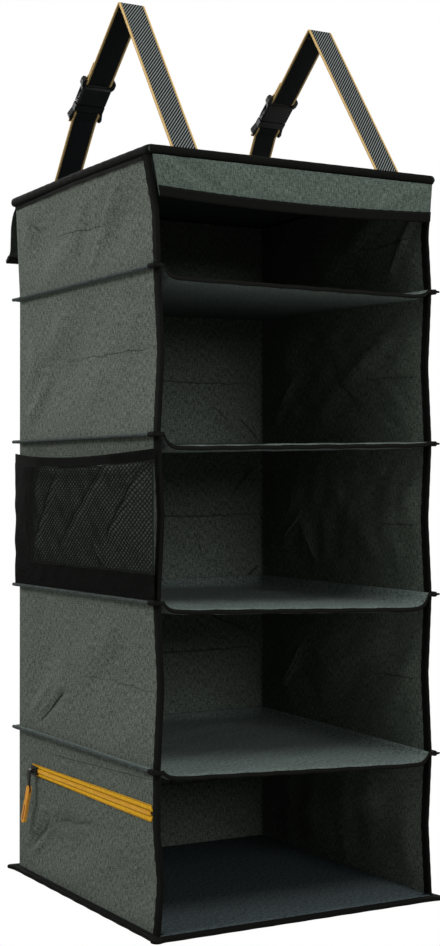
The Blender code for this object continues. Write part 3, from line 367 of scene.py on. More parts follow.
@dataclass(frozen=True)
class Woven:
    """Woven cloth or tape, with flecked threads, pressed creases with painted shade and highlight lines,
    painted shade on a sleeve's ridges and under face, and a row of stitches near its edges.
    """

    name: str
    colour: Colour
    fleck: float = 0.35
    weave: Weave = Weave.TWILL
    pitch: float = 0.0011
    height: float = 0.00012
    roughness: float = 0.85
    sheen: float = 0.0
    specular: float = 0.06
    cloud: float = 0.12
    stitch_inset: float = 0.0
    thread: Colour = (0.02, 0.02, 0.02)
    creases: tuple[Crease, ...] = ()
    stitch_length: float = 0.0030
    stitch_half: float = 0.00028
    # Painted shade: a sleeve's ridges beyond the walls and its under face are darkened by hidden_shade.
    shaded_ridge_from: float = 0.0
    shaded_under_length: float = 0.0
    hidden_shade: float = 0.35
    upright_flecks: Triple = (980.0, 190.0, 1.0)
    level_flecks: Triple = (210.0, 980.0, 1.0)
    upright_share: float = 0.58
    level_share: float = 0.42
    fleck_rough: float = 0.6
    fleck_band: Pair = (0.36, 0.64)
    clouds: Triple = (14.0, 19.0, 1.0)
    wander: float = 0.009
    wander_scale: Triple = (38.0, 38.0, 1.0)
    stitch_band: Pair = (0.22, 0.36)
    stitch_rise: float = 1.6
    stitch_groove: float = 0.8

    def threads(self, along: Value, across: Value) -> Value:
        """Relief of the weave, from 0 to 1.

        Args:
            along: place along the cloth.
            across: place across it.

        Returns:
            The height of the threads there.
        """
        if self.weave is Weave.TWILL:
            return (along + across).wave(self.pitch) * 0.6 + across.wave(self.pitch / 2.0) * 0.4
        if self.weave is Weave.RIB:
            return along.wave(self.pitch)
        bone = self.pitch * 5.0
        return (along + (across / bone).apply("PINGPONG", 1.0) * bone).wave(self.pitch)

    def material(self) -> bpy.types.Material:
        """The finish as a material.

        Returns:
            The material.
        """
        graph = Graph(self.name)
        place = graph.cloth()
        along = graph.part(place, "X")
        across = graph.part(place, "Y")
        upright = graph.noise(place, self.upright_flecks, 2.0, self.fleck_rough)
        level = graph.noise(place, self.level_flecks, 2.0, self.fleck_rough)
        flecks = upright * self.upright_share + level * self.level_share
        fleck = flecks.step(*self.fleck_band) * 2.0 - 1.0
        cloud = graph.noise(place, self.clouds, 3.0) * 2.0 - 1.0
        thread = self.threads(along, across)
        shade = 1.0 + fleck * self.fleck + cloud * self.cloud + (thread - 0.5) * (self.fleck * 0.5)
        relief = thread + fleck * 0.3
        if self.creases:
            wander = (graph.noise(place, self.wander_scale, 2.0) - 0.5) * self.wander
            for crease in self.creases:
                line = crease.line(along, across, wander)
                # Painted shade along each crease; a negative depth paints a highlight.
                shade = shade * (1.0 - line * crease.depth)
                relief = relief - line * (crease.height / self.height)
        # Painted shade on the sleeve's ridges and under face, where less light falls.
        if self.shaded_ridge_from:
            aside = graph.part(graph.body(), "X").apply("ABSOLUTE")
            ridge = aside.step(self.shaded_ridge_from, self.shaded_ridge_from + 0.001)
            under = along.step(self.shaded_under_length + 0.001, self.shaded_under_length)
            shade = shade * (1.0 - ridge * self.hidden_shade) * (1.0 - under * self.hidden_shade)
        base = graph.node("ShaderNodeRGB")
        base.outputs[0].default_value = (*self.colour, 1.0)
        colour = graph.scale(Value(graph, base.outputs[0]), shade)
        if self.stitch_inset:
            row = graph.attribute("edge").band(self.stitch_inset, self.stitch_half)
            stitch = row * along.wave(self.stitch_length).step(*self.stitch_band)
            colour = graph.blend(colour, self.thread, stitch)
            relief = relief + stitch * self.stitch_rise - row * self.stitch_groove
        graph.dress(
            {
                "Base Color": colour,
                "Roughness": fleck * 0.05 + self.roughness,
                "Sheen Weight": self.sheen,
                "Sheen Roughness": 0.5,
                "Specular IOR Level": self.specular,
            }
        )
        graph.bump(relief, self.height)
        return graph.material


@dataclass(frozen=True)
class Webbing:
    """Woven strap with a coloured thread along both edges."""

    name: str
    ground: Colour
    figure: Colour
    plain: Colour
    stripe: Colour
    stripe_width: float
    pitch: float = 0.0029
    slope: float = 0.773
    rib_pitch: float = 0.0016
    flecks: Triple = (260.0, 1300.0, 1.0)
    figure_band: Pair = (0.55, 0.95)
    stripe_band: Pair = (0.75, 0.35)
    stripe_shade: float = 0.45
    relief: float = 0.0002

    def material(self) -> bpy.types.Material:
        """The finish as a material.

        Returns:
            The material.
        """
        graph = Graph(self.name)
        place = graph.cloth()
        along = graph.part(place, "X")
        inward = graph.attribute("edge")
        across = graph.part(place, "Y")
        edge = inward.step(self.stripe_width + 0.0002, self.stripe_width - 0.0002)
        outermost = inward.step(*(self.stripe_width * share for share in self.stripe_band))
        diagonal = (along * self.slope - across).wave(self.pitch)
        fleck = graph.noise(place, self.flecks, 2.0, 0.6)
        figured = graph.blend(self.ground, self.figure, diagonal.step(*self.figure_band))
        face = graph.blend(self.plain, figured, graph.attribute("lining"))
        ribs = along.wave(self.rib_pitch)
        dull = tuple(channel * self.stripe_shade for channel in self.stripe)
        border = graph.scale(graph.blend(dull, self.stripe, outermost), 0.85 + ribs * 0.3)
        graph.dress(
            {
                "Base Color": graph.scale(graph.blend(face, border, edge), 0.85 + fleck * 0.3),
                "Roughness": 0.72 + fleck * 0.15,
                "Specular IOR Level": 0.12,
            }
        )
        graph.bump(diagonal * (1.0 - edge) + ribs * edge + fleck * 0.3, self.relief)
        return graph.material


@dataclass(frozen=True)
class Moulded:
    """Plastic, lacquered metal or board: one colour with grain, scuffs and dust."""

    name: str
    colour: Colour
    roughness: float = 0.38
    metallic: float = 0.0
    grain: float = 0.00003
    scuff: float = 0.12
    specular: float = 0.5
    grain_scale: float = 2600.0
    scuff_scale: float = 90.0
    scuff_band: Pair = (0.52, 0.72)
    scuff_share: float = 0.45
    worn_gain: float = 1.7

    def material(self) -> bpy.types.Material:
        """The finish as a material.

        Returns:
            The material.
        """
        graph = Graph(self.name)
        place = graph.body()
        fine = graph.noise(place, (self.grain_scale,) * 3, 2.0)
        marks = graph.noise(place, (self.scuff_scale,) * 3, 4.0, 0.65).step(*self.scuff_band)
        worn = tuple(min(channel * self.worn_gain + 0.01, 1.0) for channel in self.colour)
        graph.dress(
            {
                "Base Color": graph.blend(self.colour, worn, marks * self.scuff_share),
                "Roughness": self.roughness + marks * self.scuff + (fine - 0.5) * 0.1,
                "Metallic": self.metallic,
                "Specular IOR Level": self.specular,
            }
        )
        graph.bump(fine, self.grain)
        return graph.material


CLOTH = Woven("wall_cloth", srgb(88, 95, 88), fleck=0.62)
BASE = Woven("base_cloth", srgb(58, 66, 68), fleck=0.62)
# A darker copy of the wall cloth: painted shade that offsets the stronger lamp light on the header's front
# face.
HEADER = Woven("header_cloth", srgb(71, 81, 75), fleck=0.5)
INNER = Woven("inner_cloth", srgb(50, 54, 50), fleck=0.4)
# A lighter copy of the wall cloth, painted light for the shelves' lit tops; its ridges and under face get
# painted shade.
SHELF = Woven(
    "shelf_cloth", srgb(88, 99, 96), fleck=0.62, sheen=0.025, shaded_ridge_from=0.153, shaded_under_length=0.3120
)
TAPE = Woven(
    "binding_tape",
    srgb(11, 11, 10),
    0.3,
    Weave.RIB,
    height=0.0001,
    stitch_inset=0.0014,
    thread=srgb(24, 24, 23),
)
ELASTIC = Woven(
    "elastic_band",
    srgb(10, 11, 10),
    0.3,
    Weave.RIB,
    0.0018,
    0.00018,
    specular=0.03,
    stitch_inset=0.0016,
    thread=srgb(22, 22, 21),
)
NET = Woven("mesh_net", srgb(24, 26, 24), fleck=0.3, pitch=0.0005, height=0.00005)
HEM = Woven("net_hem", srgb(13, 13, 13), fleck=0.9, pitch=0.0034, height=0.0005, specular=0.02)
ZIP_CLOTH = Woven(
    "zip_tape",
    srgb(222, 168, 28),
    0.14,
    Weave.HERRINGBONE,
    0.0009,
    specular=0.2,
    stitch_inset=0.0006,
    thread=srgb(96, 46, 10),
)
COIL = Moulded("zip_coil", srgb(236, 180, 44), roughness=0.5)
METAL = Moulded("zip_metal", srgb(22, 22, 22), roughness=0.5, metallic=0.3)
PULLER = Moulded("puller_plastic", srgb(214, 146, 36), roughness=0.5)
# Painted shade: the puller's colour darkened to stand for the shadow in its grip groove.
GROOVE_SHADE = Moulded("puller_groove", srgb(140, 72, 10), roughness=0.6)
PLASTIC = Moulded("buckle_plastic", srgb(9, 9, 10), roughness=0.5, specular=0.22)
BOARD = Moulded("stiffener", srgb(66, 64, 58), roughness=0.75)
STRAPPING = Webbing(
    "webbing", srgb(6, 8, 9), srgb(112, 118, 117), srgb(16, 17, 19), srgb(190, 160, 106), 0.0021
)


class Wardrobe:
    """Materials by finish, each made once."""

    def __init__(self) -> None:
        """Start with none."""
        self.made: dict[str, bpy.types.Material] = {}

    def get(self, finish: Any) -> bpy.types.Material:
        """The finish's material.

        Args:
            finish: what to look up, or to make.

        Returns:
            The material.
        """
        if finish.name not in self.made:
            self.made[finish.name] = finish.material()
        return self.made[finish.name]


WARDROBE = Wardrobe()


# Cloth meshes


@dataclass
class Sheet:
    """A sheet of cloth laid on a grid of points of its middle surface."""

    points: np.ndarray
    thickness: float
    closed: bool = False
    kept: Optional[np.ndarray] = None
    turned: bool = False

    def lengths(self, axis: int) -> np.ndarray:
        """Distance along the cloth at each grid line of an axis.

        Args:
            axis: 0 for the grid's columns, 1 for its rows.

        Returns:
            The distances, 0 first.
        """
        points = self.points
        if axis == 0 and self.closed:
            points = np.concatenate((points, points[:1]))
        steps = np.linalg.norm(np.diff(points, axis=axis), axis=2).mean(axis=1 - axis)
        return np.concatenate(((0.0,), np.cumsum(steps)))

    def normals(self) -> np.ndarray:
        """Unit normals at the grid's points.

        Returns:
            One direction for each point.
        """
        along = np.gradient(self.points, axis=0)
        if self.closed:
            along = np.roll(self.points, -1, axis=0) - np.roll(self.points, 1, axis=0)
        across = np.gradient(self.points, axis=1)
        normal = np.cross(along, across)
        return normal / np.maximum(np.linalg.norm(normal, axis=2, keepdims=True), 1e-12)

    def build(self, name: str, finish: Any) -> bpy.types.Object:
        """Make the sheet as a closed mesh with its map in metres.

        Args:
            name: the piece's name.
            finish: what it is dressed in.

        Returns:
            The object.
        """
        count_u, count_v = self.points.shape[:2]
        normal = self.normals() * (self.thickness / 2.0)
        vertices = np.stack((self.points + normal, self.points - normal)).reshape(-1, 3)
        spans = count_u if self.closed else count_u - 1
        column, row = np.meshgrid(np.arange(spans), np.arange(count_v - 1), indexing="ij")
        kept = np.ones(column.shape, bool) if self.kept is None else self.kept
        column, row = column[kept], row[kept]
        columns = np.stack((column, column + 1, column + 1, column), axis=1)
        rows = np.stack((row, row, row + 1, row + 1), axis=1)
        corner = (columns % count_u) * count_v + rows
        total = count_u * count_v
        starts = corner.reshape(-1)
        ends = np.roll(corner, -1, axis=1).reshape(-1)
        there = set((starts * total + ends).tolist())
        alone = np.array([back not in there for back in (ends * total + starts).tolist()])
        first = np.flatnonzero(alone)
        second = first // 4 * 4 + (first + 1) % 4
        flat = corner.reshape(-1)
        rim = np.stack((flat[second], flat[first], flat[first] + total, flat[second] + total), axis=1)
        faces = np.concatenate((corner, corner[:, ::-1] + total, rim))
        along, across = self.lengths(0), self.lengths(1)
        place = np.stack((along[columns], across[rows]), axis=2)
        inward = np.minimum(across, across[-1] - across)[rows]
        if self.turned:
            place = place[..., ::-1]
            inward = np.minimum(along, along[-1] - along)[columns]
        places = place.reshape(-1, 2)
        rim_place = np.stack((places[second], places[first], places[first], places[second]), axis=1)
        uv = np.concatenate((place, place[:, ::-1], rim_place)).reshape(-1)
        inward = np.concatenate((inward, inward[:, ::-1], np.zeros((len(rim), 4)))).reshape(-1)
        lining = np.zeros(len(faces))
        lining[len(corner) : 2 * len(corner)] = 1.0
        used, faces = np.unique(faces, return_inverse=True)
        mesh = bpy.data.meshes.new(name)
        mesh.from_pydata((vertices[used] + SHIFT).tolist(), [], faces.reshape(-1, 4).tolist())
        mesh.uv_layers.new(name="cloth").data.foreach_set("uv", uv.astype(np.float32))
        for label, domain, values in (("edge", "CORNER", inward), ("lining", "FACE", lining)):
            layer = mesh.attributes.new(label, "FLOAT", domain)
            layer.data.foreach_set("value", values.astype(np.float32))
        mesh.shade_smooth()
        mesh.set_sharp_from_angle(angle=math.radians(SHARP_DEGREES))
        return place_mesh(name, mesh, finish)


def place_mesh(name: str, mesh: bpy.types.Mesh, finish: Any) -> bpy.types.Object:
    """Link a mesh as an object dressed in a finish.

    Args:
        name: the object's name.
        mesh: its mesh.
        finish: what it is dressed in.

    Returns:
        The object.
    """
    mesh.materials.clear()
    mesh.materials.append(WARDROBE.get(finish))
    item = bpy.data.objects.new(name, mesh)
    bpy.context.scene.collection.objects.link(item)
    LOG.info("%s: %d faces", name, len(mesh.polygons))
    return item


def outfit(item: bpy.types.Object, node: str = "", body: str = "") -> bpy.types.Object:
    """Hide the CAD node a piece stands for and hang the piece from the body that carries it.

    Args:
        item: the piece.
        node: the CAD node it replaces, if it does.
        body: the body it rides on, unless that is said elsewhere.

    Returns:
        The piece.
    """
    if node:
        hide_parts(node)
    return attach(item, body) if body else item


def grid(x: Any, y: Any, z: Any) -> np.ndarray:
    """Points from coordinates that are spread over one grid."""
    return np.stack(np.broadcast_arrays(x, y, z), axis=-1)


def steps(low: float, high: float, count: int) -> np.ndarray:
    return np.linspace(low, high, max(3, count) + 1)


def snap(line: np.ndarray, value: float) -> None:
    """Move the nearest step of a line to a value."""
    line[np.abs(line - value).argmin()] = value


def run_length(line: np.ndarray) -> np.ndarray:
    """Distance along a line at each of its points."""
    return np.concatenate(((0.0,), np.cumsum(np.linalg.norm(np.diff(line, axis=0), axis=1))))


def along_line(line: np.ndarray, length: np.ndarray, at: np.ndarray) -> np.ndarray:
    """Points of a flat line at distances along it."""
    return np.stack((np.interp(at, length, line[:, 0]), np.interp(at, length, line[:, 1])), axis=1)


def hairpin(
    run: np.ndarray, reach: float, crest: float, bulge: float, turns: int = 7
) -> tuple[np.ndarray, np.ndarray]:
    """Section of a tape folded round an edge.

    Args:
        run: places along its first side, towards the edge.
        reach: distance of both sides from the edge's middle.
        crest: place where the bend starts.
        bulge: how far the bend stands past that.
        turns: points on the half turn, both ends counted.

    Returns:
        Places along the sides, and places across them.
    """
    angle = np.linspace(0.5 * math.pi, -0.5 * math.pi, turns)[1:-1]
    along = np.concatenate((run, crest + bulge * np.cos(angle), run[::-1]))
    side = np.full(len(run), reach)
    return along, np.concatenate((side, reach * np.sin(angle), -side))


@dataclass(frozen=True)
class Ripples:
    """Soft irregular waves: a sum of plane waves with drawn directions and phases."""

    seed: int
    length: float
    height: float
    count: int = 9

    def at(self, along: np.ndarray, up: np.ndarray) -> np.ndarray:
        """Height of the waves at places on the cloth in metres.

        Args:
            along: places along the cloth in metres.
            up: places up the cloth in metres.

        Returns:
            The heights there.
        """
        draw = np.random.default_rng(self.seed)
        total = np.zeros(np.broadcast(along, up).shape)
        for _ in range(self.count):
            angle = draw.uniform(0.0, math.tau)
            number = math.tau / (self.length * draw.uniform(0.6, 1.8))
            phase = draw.uniform(0.0, math.tau)
            total = total + np.cos(number * (along * math.cos(angle) + up * math.sin(angle)) + phase)
        return total * (self.height / math.sqrt(self.count))


@dataclass(frozen=True)
class Fold:
    """A soft ridge of cloth along a line, from (along, up) to (along, up) in metres."""

    start: Pair
    end: Pair
    height: float
    width: float

    def course(self) -> Triple:
        """How far the line runs and rises, and its length.

        Returns:
            The run, the rise and the length.
        """
        run = self.end[0] - self.start[0]
        rise = self.end[1] - self.start[1]
        return run, rise, math.hypot(run, rise)

    def aside(self, along: np.ndarray, up: np.ndarray) -> np.ndarray:
        """Distance beside the line."""
        run, rise, length = self.course()
        return ((along - self.start[0]) * rise - (up - self.start[1]) * run) / length

    def at(self, along: np.ndarray, up: np.ndarray) -> np.ndarray:
        """Height of the ridge at places on the cloth.

        Args:
            along: places along the cloth in metres.
            up: places up the cloth in metres.

        Returns:
            The heights there.
        """
        run, rise, length = self.course()
        share = ((along - self.start[0]) * run + (up - self.start[1]) * rise) / (length * length)
        ends = smooth(-0.12, 0.18, share) * smooth(1.12, 0.82, share)
        return self.height * ends * np.exp(-((self.aside(along, up) / self.width) ** 2))

    def gather(self, along: np.ndarray, up: np.ndarray, share: float) -> tuple[np.ndarray, np.ndarray]:
        """How far the cloth is drawn in its own plane towards the ridge.

        Args:
            along: places along the cloth in metres.
            up: places up the cloth in metres.
            share: part of the distance to the ridge that the cloth is drawn at its crest.

        Returns:
            The shift along and the shift up.
        """
        run, rise, length = self.course()
        pull = -share * self.aside(along, up) * self.at(along, up) / self.height
        return pull * rise / length, -pull * run / length


# The box that everything is sewn to


@dataclass(frozen=True)
class Box:
    """Where the organizer's seams are."""

    width: float = 0.300
    depth: float = 0.320
    shelf_levels: Run = (0.600, 0.450, 0.300, 0.150)
    top_level: float = 0.6977
    fabric: float = 0.0015
    tape: float = 0.0007
    clearance: float = 0.0003
    slab: float = 0.0052
    seam: float = 0.0034
    ridge: float = 0.005
    seam_turn: float = 0.0012
    sag_left: Run = (0.0107, 0.0129, 0.0081, 0.0060)
    sag_right: Run = (0.0059, 0.0016, 0.0147, 0.0104)
    droop: Run = (0.0065, 0.0050, 0.0019, 0.0072)
    steepness: float = 30.0
    top_shift: float = -0.005
    rim_half_width: float = 0.158
    rim_half_depth: float = 0.1646
    rim_height: float = 0.0085
    rim_lip: float = 0.0055
    base_slab: float = 0.0055
    corner: float = 0.003
    crease: float = 0.0040
    crease_bend: float = 0.0012
    crease_peak: float = 0.035
    swell: float = 0.0016
    swell_waves: float = 1.5
    swell_slant: float = 0.6
    swell_step: float = 1.9
    swell_phases: tuple[tuple[str, float], ...] = (("left", 0.0), ("right", 2.4), ("back", 4.1))
    fade: float = 0.18
    zip_flat_from: float = 0.62
    rim_skew: float = 0.0046
    wall_skew: float = 0.0080

    def drawn_in(self, x: Any, y: Any, skew: float) -> Any:
        """How far the top's rear left corner is pulled to the right at a place."""
        leftward = np.clip((self.top_shift - x) / self.rim_half_width, 0.0, 1.0)
        return skew * leftward * np.clip(y / self.rim_half_depth, 0.0, 1.0)

    def level(self, level: int, x: Any = 0.0, y: Any = 0.0) -> Any:
        """Height of a seam level's middle: 0 is the top, 1 to 4 the shelves, 5 the base.

        Args:
            level: 0 for the top, 5 for the base.
            x: place across the box.
            y: place along its depth.

        Returns:
            The height.
        """
        if level == 0:
            return self.top_level
        if level == len(self.shelf_levels) + 1:
            return self.base_slab
        across = np.clip((x + self.width / 2.0) / self.width, 0.0, 1.0)
        forward = np.clip((self.depth / 2.0 - y) / self.depth, 0.0, 1.0)
        return self.shelf_levels[level - 1] - self.droop[level - 1] * across * forward

    def upper_end(self, level: int, x: Any, y: Any) -> Any:
        """Upper end of a wall that hangs from this level, where it meets the rim or the sewn edge."""
        return self.level(level, x, y) + (-self.seam / 2.0 if level > 0 else self.clearance)

    def lower_end(self, level: int, x: Any, y: Any) -> Any:
        """Lower end of a wall that is sewn to this level."""
        offset = self.seam / 2.0 if level <= len(self.shelf_levels) else -self.clearance
        return self.level(level, x, y) + offset

    def side(self, level: int, side: int) -> float:
        """X of a side wall's middle at a level, side -1 for the left.

        Args:
            level: 0 for the top, 5 for the base.
            side: -1 for the left, 1 for the right.

        Returns:
            The x.
        """
        if level == 0:
            return self.top_shift + side * (self.rim_half_width - self.rim_lip / 2.0)
        return side * (self.width - self.fabric) / 2.0

    def back(self, level: int) -> float:
        """Y of the back wall's middle at a level.

        Args:
            level: 0 for the top, 5 for the base.

        Returns:
            The y.
        """
        if level == 0:
            return self.rim_half_depth - self.rim_lip / 2.0
        return (self.depth - self.fabric) / 2.0

    def slack(self, compartment: int, wall: str, along: Any, up: Any) -> Any:
        """How far a wall is drawn inwards: the crease at half height and the soft folds beside it.

        Args:
            compartment: 1 to 5, from the top.
            wall: left, back or right.
            along: share of the way from the front, or from the left on the back.
            up: share of the height.

        Returns:
            The distance inwards.
        """
        along, up = np.broadcast_arrays(np.asarray(along, float), np.asarray(up, float))
        flat = np.zeros(up.shape, bool)
        if wall == "left" and compartment == 5:
            up = up / self.zip_flat_from
            flat = up >= 1.0
        fade = np.minimum((1.0 - along) / self.fade, 1.0)
        if wall == "back":
            fade = np.minimum(along / self.fade, fade)
        off = (2.0 * up - 1.0) ** 2
        crease = self.crease * (1.0 - np.sqrt(off + self.crease_bend) + self.crease_peak * off)
        phase = compartment * self.swell_step + dict(self.swell_phases)[wall]
        ripple = np.cos(math.tau * self.swell_waves * (along + self.swell_slant * up) + phase)
        belly = self.swell * ripple * np.sin(math.pi * np.clip(up, 0.0, 1.0))
        belly = belly * np.minimum(along / self.fade, 1.0)
        return np.where(flat, 0.0, fade * (np.maximum(crease, 0.0) + belly))

    def shelf(self, level: int, x: Any, y: Any) -> Any:
        """Height of a shelf's middle, which hangs below its seams like a shallow, tilted tray.

        Args:
            level: 1 to 4, from the top.
            x: place across the box.
            y: place along its depth.

        Returns:
            The height.
        """
        rightward = np.clip((x + self.width / 2.0) / self.width, 0.0, 1.0)
        sag = mix(self.sag_left[level - 1], self.sag_right[level - 1], rightward)
        across = 1.0 - np.minimum(np.abs(x) / self.seam_half_width(), 1.0) ** self.steepness
        rearward = np.clip(y / (self.depth / 2.0 - self.seam_inset()), 0.0, 1.0)
        return self.level(level, x, y) - sag * across * (1.0 - rearward ** self.steepness)

    def half_thickness(self, x: Any, y: Any) -> Any:
        """Half the thickness of a shelf, which narrows to its sewn edges.

        Args:
            x: place across the box.
            y: place along its depth.

        Returns:
            Half the thickness there.
        """
        seam = self.seam_half_width()
        front, rear = -self.depth / 2.0, self.depth / 2.0
        inner = smooth(seam, seam - 0.007, np.abs(x)) * smooth(front, front + 0.0065, y)
        inner = inner * smooth(rear - 0.003, rear - 0.011, y)
        return mix(self.seam, self.slab, inner) / 2.0

    def tape_reach(self) -> float:
        """From the middle of a wall's cloth to the middle of the tape on it."""
        return self.fabric / 2.0 + self.clearance + self.tape / 2.0

    def seam_inset(self) -> float:
        """How far inside the box's sides a shelf's sag begins."""
        return self.fabric + self.tape + 3.0 * self.clearance + self.seam_turn

    def seam_half_width(self) -> float:
        """Half width inside the walls, their tapes and the seams."""
        return self.width / 2.0 - self.seam_inset()


BOX = Box()


@dataclass
class Wall:
    """One strip of cloth sewn round the left side, the back and the right side of a compartment."""

    compartment: int
    folds: dict[str, tuple[Fold, ...]] = field(default_factory=dict)
    window: Optional[tuple[float, float, float, float]] = None
    creases: tuple[Crease, ...] = ()
    thickness: float = 0.0013
    front_setback: float = 0.001
    tape_depth: float = 0.009
    tape_swell: float = 0.00025
    tape_wavelength: float = 0.013
    wide_waves: Pair = (0.055, 0.0007)
    fine_waves: Pair = (0.021, 0.00022)
    puckers: Pair = (0.015, 0.00045)
    pucker_fade: float = 0.010

    def body(self) -> str:
        """The body the wall hangs from."""
        return "top" if self.compartment == 1 else f"shelf_{self.compartment - 1}"

    def height(self) -> float:
        """Height of the cloth between its seams."""
        return self.heights()[1] - self.heights()[0]

    def heights(self) -> Pair:
        """Lower and upper end at the box's middle line."""
        return (BOX.lower_end(self.compartment, 0.0, 0.0), BOX.upper_end(self.compartment - 1, 0.0, 0.0))

    def travel(self) -> float:
        """How far the level below rises when the organizer is folded up."""
        return TRAVELS[self.compartment - 1]

    def flatten(self, item: bpy.types.Object) -> None:
        """Hang a piece that lies between two levels from the upper level's body, with a mesh of its own.

        Args:
            item: the piece, with its mesh final.
        """
        low, high = self.heights()
        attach(item, self.body())
        keep = (high - low - self.travel()) / (high - low)
        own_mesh(item)

    def relief(self, wall: str, along: np.ndarray, up: np.ndarray, length: float) -> np.ndarray:
        """Folds, puckers and waves that the cloth has beside its slack.

        Args:
            wall: left, back or right.
            along: share of the way from the front, or from the left on the back.
            up: share of the height.
            length: the wall's length.

        Returns:
            How far the cloth stands inwards.
        """
        metres = along * length
        rise = up * self.height()
        fall = self.height() - rise
        seed = self.compartment * 10 + len(wall)
        free = smooth(0.0, 0.03, rise) * smooth(0.0, 0.03, fall)
        free = free * smooth(0.012, 0.04, metres) * smooth(0.002, 0.03, length - metres)
        total = Ripples(seed, *self.wide_waves).at(metres, rise)
        total = total + Ripples(seed + 3, *self.fine_waves).at(metres, rise)
        for fold in self.folds.get(wall, ()):
            total = total + fold.at(metres, rise)
        if wall == "left" and self.window:
            free = free * smooth(0.025, 0.05, np.abs(rise - ZIP_HEIGHT))
        pucker = Ripples(seed + 5, *self.puckers).at(metres, rise * 0.15)
        near = np.exp(-rise / self.pucker_fade) + np.exp(-fall / self.pucker_fade)
        near = near * smooth(0.012, 0.03, metres) * smooth(0.0, 0.012, np.minimum(rise, fall))
        return total * free + pucker * near

    def rows(self) -> np.ndarray:
        """Shares of the height where the grid's rows are.

        Returns:
            The shares, from 0 to 1.
        """
        rows = steps(0.0, 1.0, 46)
        if self.window:
            low, high = self.heights()
            for z in self.window[2:]:
                snap(rows, (z - low) / (high - low))
        return rows

    def points(self, up: np.ndarray) -> np.ndarray:
        """The wall's middle surface.

        Args:
            up: shares of the height for the grid's rows.

        Returns:
            The grid, from the left front edge round the back to the right one.
        """
        lower, upper = self.compartment, self.compartment - 1
        rear = mix(BOX.back(lower), BOX.back(upper), up)
        front = -BOX.depth / 2.0 + self.front_setback
        along = steps(0.0, 1.0, 100)
        if self.window:
            for y in self.window[:2]:
                snap(along, (y - front) / (BOX.back(lower) - BOX.corner - front))
        along = along[:, None]
        across = steps(0.0, 1.0, 84)[:, None]
        angle = np.linspace(0.0, math.pi / 2.0, 5)[1:-1, None]
        edges = []
        blocks = []
        for wall, side in (("left", -1), ("right", 1)):
            edge = mix(BOX.side(lower, side), BOX.side(upper, side), up)
            inward = BOX.slack(lower, wall, along, up) + self.relief(wall, along, up, BOX.depth - BOX.corner)
            flat = grid(edge - side * inward, mix(front, rear - BOX.corner, along), 0.0)
            turn_x = edge - side * BOX.corner * (1.0 - np.cos(angle))
            turn = grid(turn_x, rear - BOX.corner * (1.0 - np.sin(angle)), 0.0)
            edges.append(edge - side * BOX.corner)
            blocks.append(np.concatenate((flat, turn)))
        inward = BOX.slack(lower, "back", across, up) + self.relief("back", across, up, BOX.width)
        back = grid(mix(*edges, across), rear - inward, 0.0)
        points = np.concatenate((blocks[0], back, blocks[1][::-1]))
        low = BOX.lower_end(lower, points[..., 0], points[..., 1])
        high = BOX.upper_end(upper, points[..., 0], points[..., 1])
        points[..., 2] = mix(low, high, up)
        if lower == 1:
            points[..., 0] += BOX.drawn_in(points[..., 0], points[..., 1], BOX.wall_skew) * up
        return points

    def build(self) -> None:
        """Make the wall."""
        points = self.points(self.rows())
        kept = None
        if self.window:
            x, y, z = np.moveaxis((points[:-1, :-1] + points[1:, 1:]) / 2.0, 2, 0)
            front, rear, low, high = self.window
            kept = ~((y > front) & (y < rear) & (z > low) & (z < high) & (x < -BOX.width / 4.0))
        name = f"wall_{self.compartment}"
        # The wall's cloth paints its creases as shade lines, and the pale ones as highlights.
        finish = replace(CLOTH, name=name + "_cloth", creases=self.creases)
        item = Sheet(points, self.thickness, kept=kept).build(name + "_cloth", finish)
        self.flatten(outfit(item, name))
        2.0 * BOX.depth + BOX.width
        self.height()
        self.body()

    def build_binding(self, wall: str) -> None:
        """Make the tape folded round the left or the right front edge.

        Args:
            wall: left or right.
        """
        side = SIGNS[wall]
        reach = BOX.tape_reach()
        front = -BOX.depth / 2.0 + self.front_setback - BOX.clearance - BOX.tape / 2.0
        rear = front + self.tape_depth
        y, outward = hairpin(np.linspace(rear, front + reach, 6), reach, front + reach, -reach)
        up = self.rows()
        waves = up * self.height() * math.tau / self.tape_wavelength
        swell = self.tape_swell * np.cos(waves + self.compartment)
        edge = mix(BOX.side(self.compartment, side), BOX.side(self.compartment - 1, side), up)
        inward = BOX.slack(self.compartment, wall, 0.0, up)
        x = edge + side * (outward[:, None] * (1.0 + swell * 300.0) - inward)
        depth = y[:, None] + swell * (y[:, None] > rear - 0.001)
        low = BOX.lower_end(self.compartment, x, depth)
        high = BOX.upper_end(self.compartment - 1, x, depth)
        points = grid(x, depth, mix(low, high, up))[::side]
        name = f"{wall}_edge_binding_{self.compartment}"
        item = Sheet(points, BOX.tape, turned=True).build(name + "_tape", TAPE)
        self.flatten(outfit(item, name))


